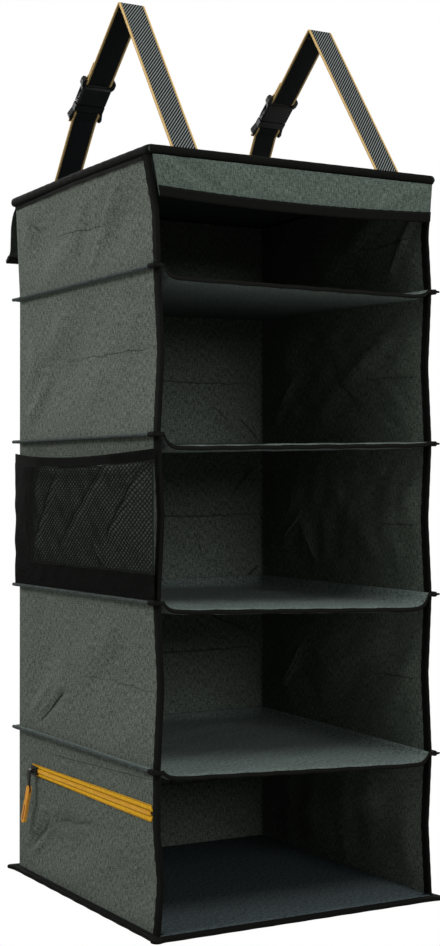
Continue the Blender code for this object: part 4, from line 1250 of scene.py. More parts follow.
# By compartment and wall, in millimetres: both ends of each fold, along the wall from its front or left and
# up, then how far it stands inwards and its width.
FOLDS = {
    (1, "left"): (
        (64, 86, 105, 48, -2.6, 6.0),
        (105, 48, 142, 10, -2.6, 6.0),
        (125, 80, 170, 20, 2.0, 10.0),
        (286, 80, 262, 58, 2.4, 4.0),
    ),
    (1, "back"): ((140, 70, 280, 15, -2.0, 10.0),),
    (1, "right"): ((12, 85, 70, 12, 3.0, 7.0), (80, 80, 200, 20, 2.4, 11.0)),
    (2, "left"): ((60, 135, 10, 70, 1.5, 8.0), (245, 66, 294, 20, -2.8, 6.0), (190, 120, 300, 60, -2.0, 14.0)),
    (2, "back"): ((233, 40, 290, 2, 3.5, 5.0), (290, 15, 230, 110, 2.4, 8.0)),
    (2, "right"): ((293, 20, 240, 74, 2.4, 6.0), (60, 110, 200, 30, 2.4, 10.0)),
    (3, "left"): ((90, 120, 230, 30, -1.8, 12.0),),
    (3, "back"): ((272, 2, 150, 70, 2.6, 8.0), (250, 88, 284, 128, 3.6, 6.0)),
    (3, "right"): ((273, 36, 228, 74, 2.0, 6.0), (228, 62, 205, 22, 1.6, 6.0), (80, 30, 180, 110, 2.0, 12.0)),
    (4, "left"): ((204, 50, 269, 9, 3.4, 3.6), (242, 54, 289, 17, -2.6, 5.0), (70, 110, 180, 40, 1.4, 12.0)),
    (4, "back"): ((285, 12, 160, 75, 2.6, 9.0), (200, 120, 280, 85, 2.4, 7.0)),
    (4, "right"): ((270, 30, 225, 80, 2.2, 6.0), (70, 100, 200, 50, 1.8, 12.0)),
    (5, "left"): (
        (236, 58, 286, 18, -3.0, 4.5),
        (243, 64, 293, 24, 3.0, 5.0),
        (234, 60, 129, 76, 2.0, 4.5),
        (60, 70, 140, 20, -1.2, 11.0),
    ),
    (5, "back"): ((285, 12, 170, 80, 2.6, 9.0),),
    (5, "right"): ((70, 90, 250, 40, 1.8, 12.0),),
}

# The same for the creases: both ends, the depth of the painted shade (not a length; below 0 it paints a
# highlight), the width, and how far it strays.
CREASES = {
    (1, "left"): (
        (226, 53, 100, 48, 0.34, 1.3),
        (286, 76, 266, 63, 0.40, 1.6),
        (67, 80, 105, 48, -0.10, 8.0),
        (105, 48, 140, 14, -0.10, 8.0),
    ),
    (1, "right"): ((10, 52, 120, 48, 0.40, 1.6), (20, 84, 68, 14, 0.45, 3.0)),
    (2, "left"): ((204, 75.5, 6, 76.5, 0.30, 1.3), (246, 64, 292, 21, -0.10, 6.0)),
    (2, "back"): (
        (40, 67, 294, 67.5, 0.50, 1.6),
        (231, 41.5, 250, 23, 0.55, 1.8),
        (262, 30, 293, 2, 0.60, 2.0),
    ),
    (2, "right"): (
        (293, 23.5, 245, 69, -0.90, 1.8),
        (110, 66.3, 8, 64.6, 0.40, 1.4),
        (180, 100, 120, 30, 0.30, 3.0),
    ),
    (3, "back"): (
        (40, 65.5, 296, 70, 0.55, 1.6),
        (253, 92, 283, 124, 0.50, 3.6),
        (275, -2, 290, 12, 0.60, 2.0),
        (215, 20, 205, 52, 0.30, 2.2),
    ),
    (3, "right"): (
        (86, 66.4, 12, 66.7, 0.40, 1.4),
        (273, 40.3, 231, 71.3, -0.80, 1.8),
        (226, 57.2, 207, 25.6, -0.70, 1.8),
    ),
    (4, "left"): (
        (205, 49, 268, 10, 0.80, 2.1),
        (242, 54, 289, 17, -0.12, 5.6),
        (172, 67, 121, 69, 0.24, 1.2),
        (121, 69, 5, 67, 0.24, 1.2),
    ),
    (4, "back"): ((100, 68, 292, 70, 0.50, 1.6), (205, 118, 276, 88, 0.40, 2.6)),
    (4, "right"): ((268, 34, 228, 78, -0.60, 1.8), (100, 66, 12, 68, 0.35, 1.4)),
    (5, "left"): (
        (262, 126.0, -6, 136.2, 0.40, 0.9, 0.0),
        (262, 123.2, -6, 133.4, -0.14, 0.9, 0.0),
        (243, 61.5, 290, 22, 0.42, 4.6),
        (237, 57, 284, 18.5, -0.14, 3.4),
        (234, 60, 129, 76, 0.34, 2.2),
    ),
    (5, "back"): ((120, 68, 292, 70, 0.40, 1.6),),
}


@dataclass
class Walls:
    """All five compartments' walls with their front tapes."""

    zip_window: tuple[float, float, float, float] = (-0.1475, 0.1170, 0.10505, 0.11855)

    def folds(self, compartment: int) -> dict[str, tuple[Fold, ...]]:
        """The folds that hanging has given a compartment's walls.

        Args:
            compartment: 1 to 5, from the top.

        Returns:
            The folds of each wall.
        """
        made = {}
        for wall in ("left", "back", "right"):
            rows = [np.array(row) / 1000.0 for row in FOLDS.get((compartment, wall), ())]
            made[wall] = tuple(Fold(row[:2], row[2:4], *row[4:]) for row in rows)
        return made

    def creases(self, compartment: int) -> tuple[Crease, ...]:
        """The creases pressed into a compartment's walls, with their painted shade and highlight lines.

        Args:
            compartment: 1 to 5, from the top.

        Returns:
            The creases of all its walls.
        """
        made = []
        for wall in ("left", "back", "right"):
            for row in CREASES.get((compartment, wall), ()):
                *ends, depth, width, stray = (*row, 1.0)[:7]
                ends = [value / 1000.0 for value in ends]
                made.append(Crease(tuple(ends[:2]), tuple(ends[2:]), depth, width / 1000.0, wall, stray))
        return tuple(made)

    def build(self) -> None:
        """Make the walls and their tapes."""
        for compartment in range(1, 6):
            window = self.zip_window if compartment == 5 else None
            wall = Wall(compartment, self.folds(compartment), window, self.creases(compartment))
            wall.build()
            wall.build_binding("left")
            wall.build_binding("right")


# Sleeves round the boards


def loop_profile(half: float, thick: float, pinch_at: float, pinch: float, stations: np.ndarray) -> np.ndarray:
    """Cross-section of a flat sleeve whose two long edges stand out as rolls.

    Args:
        half: half width over the rolls.
        thick: half thickness.
        pinch_at: distance from the middle where the seam pulls the layers together.
        pinch: how deep that seam is.
        stations: points across one side, from -1 to 1.

    Returns:
        Columns of sideways and of upward places round the loop, the upper side first, from left to right.
    """
    flat = stations * (half - thick)
    seam = pinch * np.exp(-(((np.abs(flat) - pinch_at) / 0.0009) ** 2))
    upper = np.stack((flat, thick - seam), axis=1)
    angle = np.linspace(0.5 * math.pi, -0.5 * math.pi, 9)[1:-1]
    roll = np.stack((half - thick + thick * np.cos(angle), thick * np.sin(angle)), axis=1)
    loop = np.concatenate((upper, roll, upper[::-1] * (1.0, -1.0), roll[::-1] * (-1.0, 1.0)))
    return loop.T[:, :, None]


@dataclass
class Shelf:
    """One shelf: its sleeve with the seam ridges and the tape along its front."""

    level: int
    cloth: float = 0.0008
    tape: float = 0.0010
    end_tape: float = 0.0006
    end_length: float = 0.0100
    stitch_line: float = 0.0012
    wide_waves: Pair = (0.05, 0.00045)
    fine_waves: Pair = (0.017, 0.00018)
    ridge_wave: float = 0.00035
    ridge_wavelength: float = 0.021
    tape_wave: float = 0.0002
    tape_wavelength: float = 0.037
    tape_tips: Pair = (0.0062, 0.0085)
    ridge_columns: Run = (0.972, 0.979, 0.986, 0.993, 1.0)
    front_rows: Run = (0.0, 0.0007, 0.0014, 0.0024, 0.0036, 0.0050, 0.0066)
    rear_rows: Run = (-0.012, -0.009, -0.0065, -0.0045, -0.003, -0.0015, 0.0, 0.003, 0.005)
    left_tip: Run = (0.0, 0.0005, 0.0015, 0.003)
    left_bend: Run = (-0.0005, 0.0, 0.0006, 0.002)
    kinks: Run = (0.0035, 0.005, 0.007, 0.009, 0.0115, 0.014)

    def body(self) -> str:
        """The body the shelf is."""
        return f"shelf_{self.level}"

    def build_cover(self) -> None:
        """Make the sleeve."""
        half = BOX.width / 2.0 + BOX.ridge
        edge = BOX.depth / 2.0
        thick = BOX.seam / 2.0 - self.cloth / 2.0
        side = np.concatenate((np.linspace(0.860, 0.965, 12), self.ridge_columns))
        flat = np.concatenate((-side[::-1], steps(-0.85, 0.85, 76), side))
        x, up = loop_profile(half, thick, BOX.width / 2.0 + self.stitch_line, 0.0005, flat)
        front = -edge + np.array(self.front_rows)
        y = np.concatenate((front, steps(-edge + 0.009, edge - 0.015, 66), edge + np.array(self.rear_rows)))
        inner = smooth(half, half - 0.02, np.abs(x)) * smooth(0.165, 0.14, np.abs(y))
        wave = Ripples(self.level * 7, *self.wide_waves).at(x, y) + 0.0003
        wave = wave + Ripples(self.level * 7 + 1, *self.fine_waves).at(x, y)
        roll = self.ridge_wave * np.cos(y * math.tau / self.ridge_wavelength + self.level)
        roll = roll * (np.abs(x) > BOX.width / 2.0 + 0.002)
        room = (BOX.half_thickness(x, y) - self.cloth / 2.0) / thick
        z = BOX.shelf(self.level, x, y) + up * room + np.sign(up) * np.maximum(wave, 0.0) * inner
        name = f"shelf_cover_{self.level}"
        points = grid(x + np.sign(x) * roll, y, z)[::-1]
        item = Sheet(points, self.cloth, closed=True).build(name + "_cloth", SHELF)
        outfit(item, name, self.body())

    def build_tape(self) -> None:
        """Make the tape along the front edge, with its loose pointed ends."""
        left = -BOX.width / 2.0 - self.tape_tips[0]
        right = BOX.width / 2.0 + self.tape_tips[1]
        seam = BOX.seam_half_width()
        start = np.concatenate((left + np.array(self.left_tip), -seam + np.array(self.left_bend)))
        end = (seam - 0.002, seam, right - 0.006, right - 0.004, right - 0.002, right)
        kink = np.array(self.kinks)
        middle = steps(-seam + 0.017, seam - 0.017, 110)
        x = np.concatenate((start, -seam + kink, middle, seam - kink[::-1], end))[:, None]
        taper = 0.3 + 0.7 * smooth(right, right - 0.008, x) * smooth(left - 0.001, left + 0.0015, x)
        middle = BOX.shelf(self.level, np.clip(x, -seam, seam), -BOX.depth / 2.0)
        wave = self.tape_wave * np.cos(x * math.tau / self.tape_wavelength + self.level)
        middle = middle + wave * smooth(seam, seam - 0.02, np.abs(x))
        up = np.linspace(-0.5, 0.5, 7)
        y = -BOX.depth / 2.0 - BOX.clearance - self.tape / 2.0 - 0.0006 * (1.0 - (2.0 * up) ** 2)
        name = f"shelf_binding_{self.level}"
        points = grid(x, y, middle + up * (BOX.seam + 0.0002) * taper)
        item = Sheet(points, self.tape).build(name + "_tape", TAPE)
        outfit(item, name, self.body())

    def build_end(self, word: str) -> None:
        """Make the tape's turned-back end, which wraps the left or the right ridge's front corner.

        Args:
            word: left or right.
        """
        side = SIGNS[word]
        y = np.append(np.linspace(-0.0003, self.end_length, 9), self.end_length + 0.0008) - BOX.depth / 2.0
        bend = np.linspace(0.5 * math.pi, -0.5 * math.pi, 9)
        reach = BOX.seam / 2.0 + 0.0005
        inner = BOX.width / 2.0 + 0.0023
        outer = BOX.width / 2.0 + BOX.ridge - 0.0002
        round_end = outer + 0.0011 * np.cos(bend)
        across = np.concatenate(((inner, outer - 0.001), round_end, (outer - 0.001, inner)))
        up = np.concatenate(((reach, reach), reach * np.sin(bend), (-reach, -reach)))
        trim = 1.0 - 0.18 * smooth(self.end_length - 0.002, self.end_length, y + BOX.depth / 2.0)
        x = side * across[:, None]
        points = grid(x, y, BOX.shelf(self.level, x, y) + up[:, None] * trim)[::-side]
        item = Sheet(points, self.end_tape).build(f"{self.body()}_{word}_end_tape", TAPE)
        outfit(item, body=self.body())


def ring_path(
    half: Pair, centre_x: float, corner: float, spacing: float
) -> tuple[np.ndarray, np.ndarray]:
    """Points round a rectangle with rounded corners.

    Args:
        half: half width and half depth.
        centre_x: x of its middle.
        corner: radius.
        spacing: distance between points along the sides.

    Returns:
        The points and their outward directions, anticlockwise from above.
    """
    points = []
    outward = []
    signs = np.array(((1, 1), (-1, 1), (-1, -1), (1, -1)))
    hubs = signs * (np.array(half) - corner) + (centre_x, 0.0)
    for quarter, hub in enumerate(hubs):
        for angle in np.radians(np.linspace(quarter * 90.0, (quarter + 1) * 90.0, 8)):
            direction = np.array((math.cos(angle), math.sin(angle)))
            points.append(hub + direction * corner)
            outward.append(direction)
        last = outward[-1]
        goal = hubs[(quarter + 1) % 4] + last * corner
        gap = np.linalg.norm(goal - points[-1])
        for share in np.linspace(0.0, 1.0, int(gap / spacing) + 2)[1:-1]:
            points.append(mix(hub + last * corner, goal, share))
            outward.append(last)
    return np.array(points), np.array(outward)


def around(path: np.ndarray, outward: np.ndarray, out: np.ndarray) -> tuple[np.ndarray, np.ndarray]:
    """X and y of places beside a ring, each so far outward from it."""
    return path[:, :1] + outward[:, :1] * out, path[:, 1:] + outward[:, 1:] * out


@dataclass
class Top:
    """The board's sleeve at the top with the tape round it."""

    cloth: float = 0.0008
    half_tape: float = 0.0006
    inset: float = 0.0015
    spacing: float = 0.003
    rim_corner: float = 0.006
    facing_low: float = 0.6942
    facing_front: float = -0.1505
    wide_waves: Pair = (0.06, 0.0004)
    fine_waves: Pair = (0.02, 0.00012)
    rim_waves: tuple[Pair, ...] = ((0.0002, 0.017), (0.00012, 0.0063))

    def middle(self) -> float:
        """Height of the top's middle."""
        return BOX.top_level + BOX.clearance + BOX.rim_height / 2.0

    def build_cover(self) -> None:
        """Make the sleeve, whose edges lie inside the rim tape."""
        half = BOX.rim_half_width - self.inset
        thick = BOX.rim_height / 2.0 - self.inset - self.cloth / 2.0
        x, up = loop_profile(half, thick, 0.0, 0.0, np.linspace(-1.0, 1.0, 60))
        reach = BOX.rim_half_depth - self.inset
        y = steps(-reach, reach, 60)
        inner = smooth(half, half - 0.02, np.abs(x)) * smooth(reach, reach - 0.02, np.abs(y))
        wave = Ripples(3, *self.wide_waves).at(x, y) + Ripples(4, *self.fine_waves).at(x, y) + 0.0003
        z = self.middle() + up + np.sign(up) * np.maximum(wave, 0.0) * inner
        x = x + BOX.top_shift
        x = x + BOX.drawn_in(x, y, BOX.rim_skew)
        item = Sheet(grid(x, y, z)[::-1], self.cloth, closed=True).build("top_cover_cloth", SHELF)
        outfit(item, "top_cover", "top")

    def build_rim(self) -> None:
        """Make the tape folded round the top's edge."""
        reach = BOX.rim_height / 2.0 - self.half_tape
        half = (BOX.rim_half_width, BOX.rim_half_depth)
        path, outward = ring_path(half, BOX.top_shift, self.rim_corner, self.spacing)
        bulge = reach * 0.6
        crest = -self.half_tape - bulge
        out, up = hairpin(np.linspace(-BOX.rim_lip, crest, 4), reach, crest, bulge, 11)
        length = np.arange(len(path))[:, None] * self.spacing
        wobble = sum(height * np.cos(length * math.tau / wavelength) for height, wavelength in self.rim_waves)
        x, y = around(path, outward, out + wobble)
        x = x + BOX.drawn_in(x, y, BOX.rim_skew)
        points = grid(x, y, self.middle() + up)
        item = Sheet(points, 2.0 * self.half_tape, closed=True).build("top_rim_tape", TAPE)
        outfit(item, "top_rim", "top")

    def build_facing(self) -> None:
        """Make the narrow tape under the rim that covers the first walls' sewn upper edge."""
        outside = BOX.tape_reach()
        half = (BOX.side(0, 1) - BOX.top_shift + outside, BOX.back(0) + outside)
        path, _ = ring_path(half, BOX.top_shift, BOX.corner + outside, self.spacing)
        path = np.roll(path, -int(np.argmin(path[:, 1] - path[:, 0] * 0.01)), axis=0)
        path = path[path[:, 1] > self.facing_front]
        low = self.facing_low + 0.0003 * np.cos(np.arange(len(path)) * self.spacing * math.tau / 0.043)
        x, y = path[:, :1], path[:, 1:]
        z = mix(low[:, None], BOX.top_level - BOX.clearance, np.linspace(0.0, 1.0, 5))
        points = grid(x + BOX.drawn_in(x, y, BOX.wall_skew), y, z)
        outfit(Sheet(points, BOX.tape).build("top_facing_tape", TAPE), body="top")


@dataclass
class Header:
    """The strip across the front of the first compartment with its taped lower edge."""

    height: float = 0.036
    sag: float = 0.004
    cloth: float = 0.0013
    tape_height: float = 0.0095
    relief: float = 0.0016
    folds: tuple[Fold, ...] = (
        Fold((0.006, 0.036), (0.042, 0.006), 0.0016, 0.0040),
        Fold((0.024, 0.034), (0.070, 0.008), -0.0014, 0.0050),
        Fold((0.080, 0.030), (0.150, 0.006), 0.0012, 0.0060),
        Fold((0.292, 0.034), (0.240, 0.010), 0.0014, 0.0050),
    )

    def place(self, share: np.ndarray, z: np.ndarray, y: Any) -> np.ndarray:
        """Points on the header, whose ends follow the slanting front edges.

        Args:
            share: share of the way from the left end to the right one.
            z: height.
            y: depth.

        Returns:
            The points.
        """
        up = (z - BOX.shelf_levels[0]) / (BOX.top_level - BOX.shelf_levels[0])
        inset = BOX.fabric / 2.0 + 2.0 * BOX.clearance + BOX.tape
        left = mix(BOX.side(1, -1), BOX.side(0, -1), up) + BOX.slack(1, "left", 0.0, up) + inset
        right = mix(BOX.side(1, 1), BOX.side(0, 1), up) - BOX.slack(1, "right", 0.0, up) - inset
        return grid(mix(left, right, share), y, z)

    def build(self) -> None:
        """Make the strip and its binding."""
        top = BOX.top_level - BOX.clearance
        reach = BOX.tape_reach()
        y = -BOX.depth / 2.0 - 0.0010 - 2.0 * BOX.clearance - reach - BOX.tape / 2.0
        share = steps(0.0, 1.0, 110)[:, None]
        low = top - self.height - self.sag * (1.0 - (2.0 * share - 1.0) ** 2)
        rise = steps(0.0, 1.0, 18)
        metres, up = share * BOX.width, rise * self.height
        wave = Ripples(61, 0.05, 0.0006).at(metres, up) * smooth(0.0, 0.5, 1.0 - rise)
        for fold in self.folds:
            wave = wave + fold.at(metres, up)
        wave = np.clip(wave, -self.relief, self.relief) * smooth(0.0, 0.02, share) * smooth(1.0, 0.98, share)
        wave = wave * smooth(1.0, 0.9, rise) * smooth(0.0, 0.35, rise)
        points = self.place(share, mix(low, top, rise), y - wave)
        panel = Sheet(points, self.cloth).build("header_panel_cloth", HEADER)
        outfit(panel, "header_panel", "top")

        up, depth = hairpin(np.linspace(self.tape_height, reach * 0.5, 6), reach, reach * 0.5, -reach * 0.5)
        low = low - BOX.clearance - BOX.tape / 2.0
        ripple = 0.00018 * np.cos(share * BOX.width * math.tau / 0.011)
        points = self.place(share, low + up + ripple, y + depth)
        tape = Sheet(points[::-1], BOX.tape).build("header_binding_tape", TAPE)
        outfit(tape, "header_binding", "top")


@dataclass
class Base:
    """The base's sleeve with the taped seam flange round it."""

    cloth: float = 0.0007
    face: Pair = (0.1405, 0.1505)
    flange_out: float = 0.005
    flange: float = 0.0026
    spacing: float = 0.004
    tip_length: float = 0.008
    tip_reach: float = 0.0045
    waves: Pair = (0.05, 0.0003)
    edge_out: Run = (-0.012, -0.004, -0.0012, -0.0003, 0.0, 0.0005, 0.002, 0.0044)
    edge_fall: Run = (0.0, 0.0, 0.0002, 0.0008, 0.0013)
    flange_half: Run = (0.0011, 0.0009, 0.0009)
    flange_tip: float = 0.0047

    def build_cover(self) -> None:
        """Make the sleeve's edge with the flange, and its two faces."""
        middle = BOX.base_slab / 2.0
        half = middle - 0.0004
        path, outward = ring_path((BOX.width / 2.0, BOX.depth / 2.0), 0.0, 0.002, 0.006)
        up = np.concatenate((half - np.array(self.edge_fall), self.flange_half))
        up = np.concatenate((up, (0.0,), -up[::-1]))
        x, y = around(path, outward, np.array((*self.edge_out, self.flange_tip, *self.edge_out[::-1])))
        edge = Sheet(grid(x, y, middle + up), self.cloth, closed=True).build("base_cover_edge", BASE)
        outfit(edge, "base_cover", "base")
        half_x, half_y = self.face
        x = steps(-half_x, half_x, 70)[:, None]
        y = steps(-half_y, half_y, 70)
        free = smooth(half_x, 0.12, np.abs(x)) * smooth(half_y, 0.13, np.abs(y))
        for name, side, seed in (("base_cover_upper", 1.0, 81), ("base_cover_lower", -1.0, 82)):
            wave = Ripples(seed, *self.waves).at(x, y)
            z = middle + side * (half + 0.0002 - np.maximum(-wave, 0.0) * free * 0.4)
            outfit(Sheet(grid(x, y, z), self.cloth).build(name, BASE), body="base")

    def build_tape(self) -> None:
        """Make the tape folded round the flange, with its corners standing out as tips."""
        reach = self.flange / 2.0 + BOX.clearance + BOX.tape / 2.0
        half = (BOX.width / 2.0 + self.flange_out, BOX.depth / 2.0 + self.flange_out)
        path, outward = ring_path(half, 0.0, 0.0012, self.spacing)
        tip = np.clip(1.0 - np.abs(np.abs(path) - half) / self.tip_length, 0.0, 1.0).prod(axis=1)[:, None]
        run = np.linspace(-self.flange_out + BOX.clearance, 0.0, 4)
        out, up = hairpin(run, reach, BOX.clearance + 0.0003, 0.0006)
        length = np.arange(len(path))[:, None] * self.spacing
        wobble = 0.0003 * np.cos(length * math.tau / 0.031) + self.tip_reach * tip
        share = smooth(-0.003, 0.0006, out)
        x, y = around(path, outward, out + wobble * share)
        points = grid(x, y, BOX.base_slab / 2.0 + up * (1.0 - 0.5 * tip * share))
        tape = Sheet(points, BOX.tape, closed=True).build("base_binding_tape", TAPE)
        outfit(tape, "base_binding", "base")


# Mesh pocket


@dataclass
class MeshPocket:
    """The net on the third compartment's left wall, with its band and borders."""

    foot: float = 0.300
    front: float = -0.157
    band_top: float = 0.4375
    band_height: float = 0.0095
    band_sag: float = 0.006
    border_top: float = 0.3255
    border_end: float = 0.4280
    rear_border: float = 0.040
    bulge: float = 0.010
    stand_off: float = 0.0032
    cloth: float = 0.0011
    strand: float = 0.0013
    net_height: float = 0.105
    cell: Pair = (0.0066, 0.0048)
    pinch: float = 0.78
    net_waves: Pair = (0.04, 0.0008)
    border_waves: Pair = (0.03, 0.0004)
    gather: float = 0.0004
    gather_pitch: float = 0.0065
    folds: tuple[Fold, ...] = (
        Fold((0.013, 0.127), (0.083, 0.058), 0.0024, 0.0052),
        Fold((0.075, 0.128), (0.192, 0.046), 0.0028, 0.0056),
        Fold((0.188, 0.120), (0.265, 0.036), 0.0024, 0.0052),
        Fold((0.236, 0.120), (0.251, 0.094), 0.0016, 0.0042),
        Fold((0.120, 0.050), (0.090, 0.020), 0.0020, 0.0046),
    )

    def x(self, y: np.ndarray, z: np.ndarray) -> np.ndarray:
        """X of the pocket's middle: sewn down at its ends and foot, slack towards its mouth.

        Args:
            y: place along the box's depth.
            z: height.

        Returns:
            The x.
        """
        up = np.clip((z - self.foot) / (self.band_top - self.foot), 0.0, 1.0)
        along = np.clip((y + BOX.depth / 2.0) / BOX.depth, 0.0, 1.0)
        ends = np.minimum(1.0, 5.6 * along * (1.0 - along))
        return -BOX.width / 2.0 - self.stand_off - self.bulge * np.sin(0.5 * math.pi * up) * ends

    def band_low(self, y: np.ndarray) -> np.ndarray:
        """Lower edge of the elastic band, which sags between its ends."""
        along = (y + BOX.depth / 2.0) / BOX.depth
        return self.band_top - self.band_height - self.band_sag * 4.0 * along * (1.0 - along)

    def drape(self, y: np.ndarray, z: np.ndarray) -> np.ndarray:
        """Points of the slack net with its folds.

        Args:
            y: place along the box's depth.
            z: height.

        Returns:
            The points.
        """
        metres = y + BOX.depth / 2.0
        rise = z - self.foot
        free = smooth(0.026, 0.034, rise) * smooth(0.128, 0.120, rise) * smooth(0.004, 0.016, metres)
        free = free * smooth(0.280, 0.262, metres)
        out = sum(fold.at(metres, rise) for fold in self.folds) + Ripples(5, *self.net_waves).at(metres, rise)
        along, up = sum(np.array(fold.gather(metres, rise, self.pinch)) for fold in self.folds)
        return grid(self.x(y, z) - free * out, y + free * along, z + free * up)

    def build_net(self) -> bpy.types.Object:
        """Make the net: diamonds of knotted yarn.

        Returns:
            The net.
        """
        margin = BOX.clearance + self.strand / 2.0
        rear = BOX.depth / 2.0 - self.rear_border
        columns = round((rear - self.front) / self.cell[0])
        bm = bmesh.new()
        bmesh.ops.create_grid(bm, x_segments=columns, y_segments=round(0.100 / self.cell[1]), size=0.5)
        inner = [edge for edge in bm.edges if len(edge.link_faces) == 2]
        bmesh.ops.poke(bm, faces=bm.faces)
        bmesh.ops.dissolve_edges(bm, edges=inner, use_verts=False)
        flat = np.array([vert.co for vert in bm.verts]) + 0.5
        y = mix(self.front + margin, rear - margin, flat[:, 0])
        z = mix(self.border_top + margin, self.band_low(y) - BOX.clearance, flat[:, 1])
        for vert, place in zip(bm.verts, self.drape(y, z) + SHIFT):
            vert.co = place
        uv = bm.loops.layers.uv.new("cloth")
        for face in bm.faces:
            for loop in face.loops:
                loop[uv].uv = (loop.vert.co.y, loop.vert.co.z)
        mesh = bpy.data.meshes.new("mesh_pocket_net_yarn")
        bm.to_mesh(mesh)
        bm.free()
        item = place_mesh("mesh_pocket_net_yarn", mesh, NET)
        wires = item.modifiers.new("yarn", "WIREFRAME")
        wires.thickness = self.strand
        wires.offset = 0.0
        wires.use_boundary = True
        apply_modifiers(item)
        return outfit(item, "mesh_pocket_net")

    def build_band(self) -> bpy.types.Object:
        """Make the elastic band along the mouth.

        Returns:
            The band.
        """
        rear = BOX.depth / 2.0
        y = steps(self.front, rear, 90)[:, None]
        ends = smooth(0.0, 0.02, y - self.front) * smooth(0.0, 0.02, rear - y)
        gather = self.gather * np.cos(y * math.tau / self.gather_pitch) * ends
        low = self.band_low(y)
        z = mix(low + BOX.clearance, low + self.band_height, np.linspace(0.0, 1.0, 6))
        points = grid(self.x(y, z) - gather, y, z)
        band = Sheet(points[::-1], self.cloth).build("mesh_pocket_band_elastic", ELASTIC)
        return outfit(band, "mesh_pocket_band")

    def build_border(self) -> bpy.types.Object:
        """Make the cloth along the foot and the rear.

        Returns:
            The border.
        """
        foot = BOX.level(3, -BOX.width / 2.0) + BOX.seam / 2.0
        rear = BOX.depth / 2.0
        split = rear - self.rear_border
        top, end = self.border_top, self.border_end
        y = np.unique(np.concatenate((steps(self.front, split, 70), steps(split, rear, 12))))[:, None]
        z = np.concatenate((np.linspace(foot, top, 8), steps(top, end, 24)[1:]))
        limit = (self.band_low(y) + BOX.clearance - top) / (end - top)
        z = np.where(z > top, top + (z - top) * limit, z)
        wave = Ripples(6, *self.border_waves).at(y, z) * smooth(0.0, 0.01, z - foot)
        points = grid(self.x(y, z) - wave, y, z)
        middle = (points[:-1, :-1] + points[1:, 1:]) / 2.0
        kept = (middle[..., 2] < top) | (middle[..., 1] > split)
        border = Sheet(points[::-1], self.cloth, kept=kept[::-1]).build("mesh_pocket_border_cloth", HEM)
        return outfit(border, "mesh_pocket_border")

    def build(self) -> None:
        """Make the pocket's pieces."""
        wall = Wall(3)
        net = self.build_net()
        wall.flatten(net)
        flat = (BOX.depth - self.rear_border, self.net_height)
        wall.flatten(self.build_band())
        wall.flatten(self.build_border())


def apply_modifiers(item: bpy.types.Object) -> None:
    """Apply all modifiers of an object in order.

    Args:
        item: the object.
    """
    bpy.ops.object.select_all(action="DESELECT")
    item.select_set(True)
    bpy.context.view_layer.objects.active = item
    for modifier in list(item.modifiers):
        bpy.ops.object.modifier_apply(modifier=modifier.name)


# Zip pocket


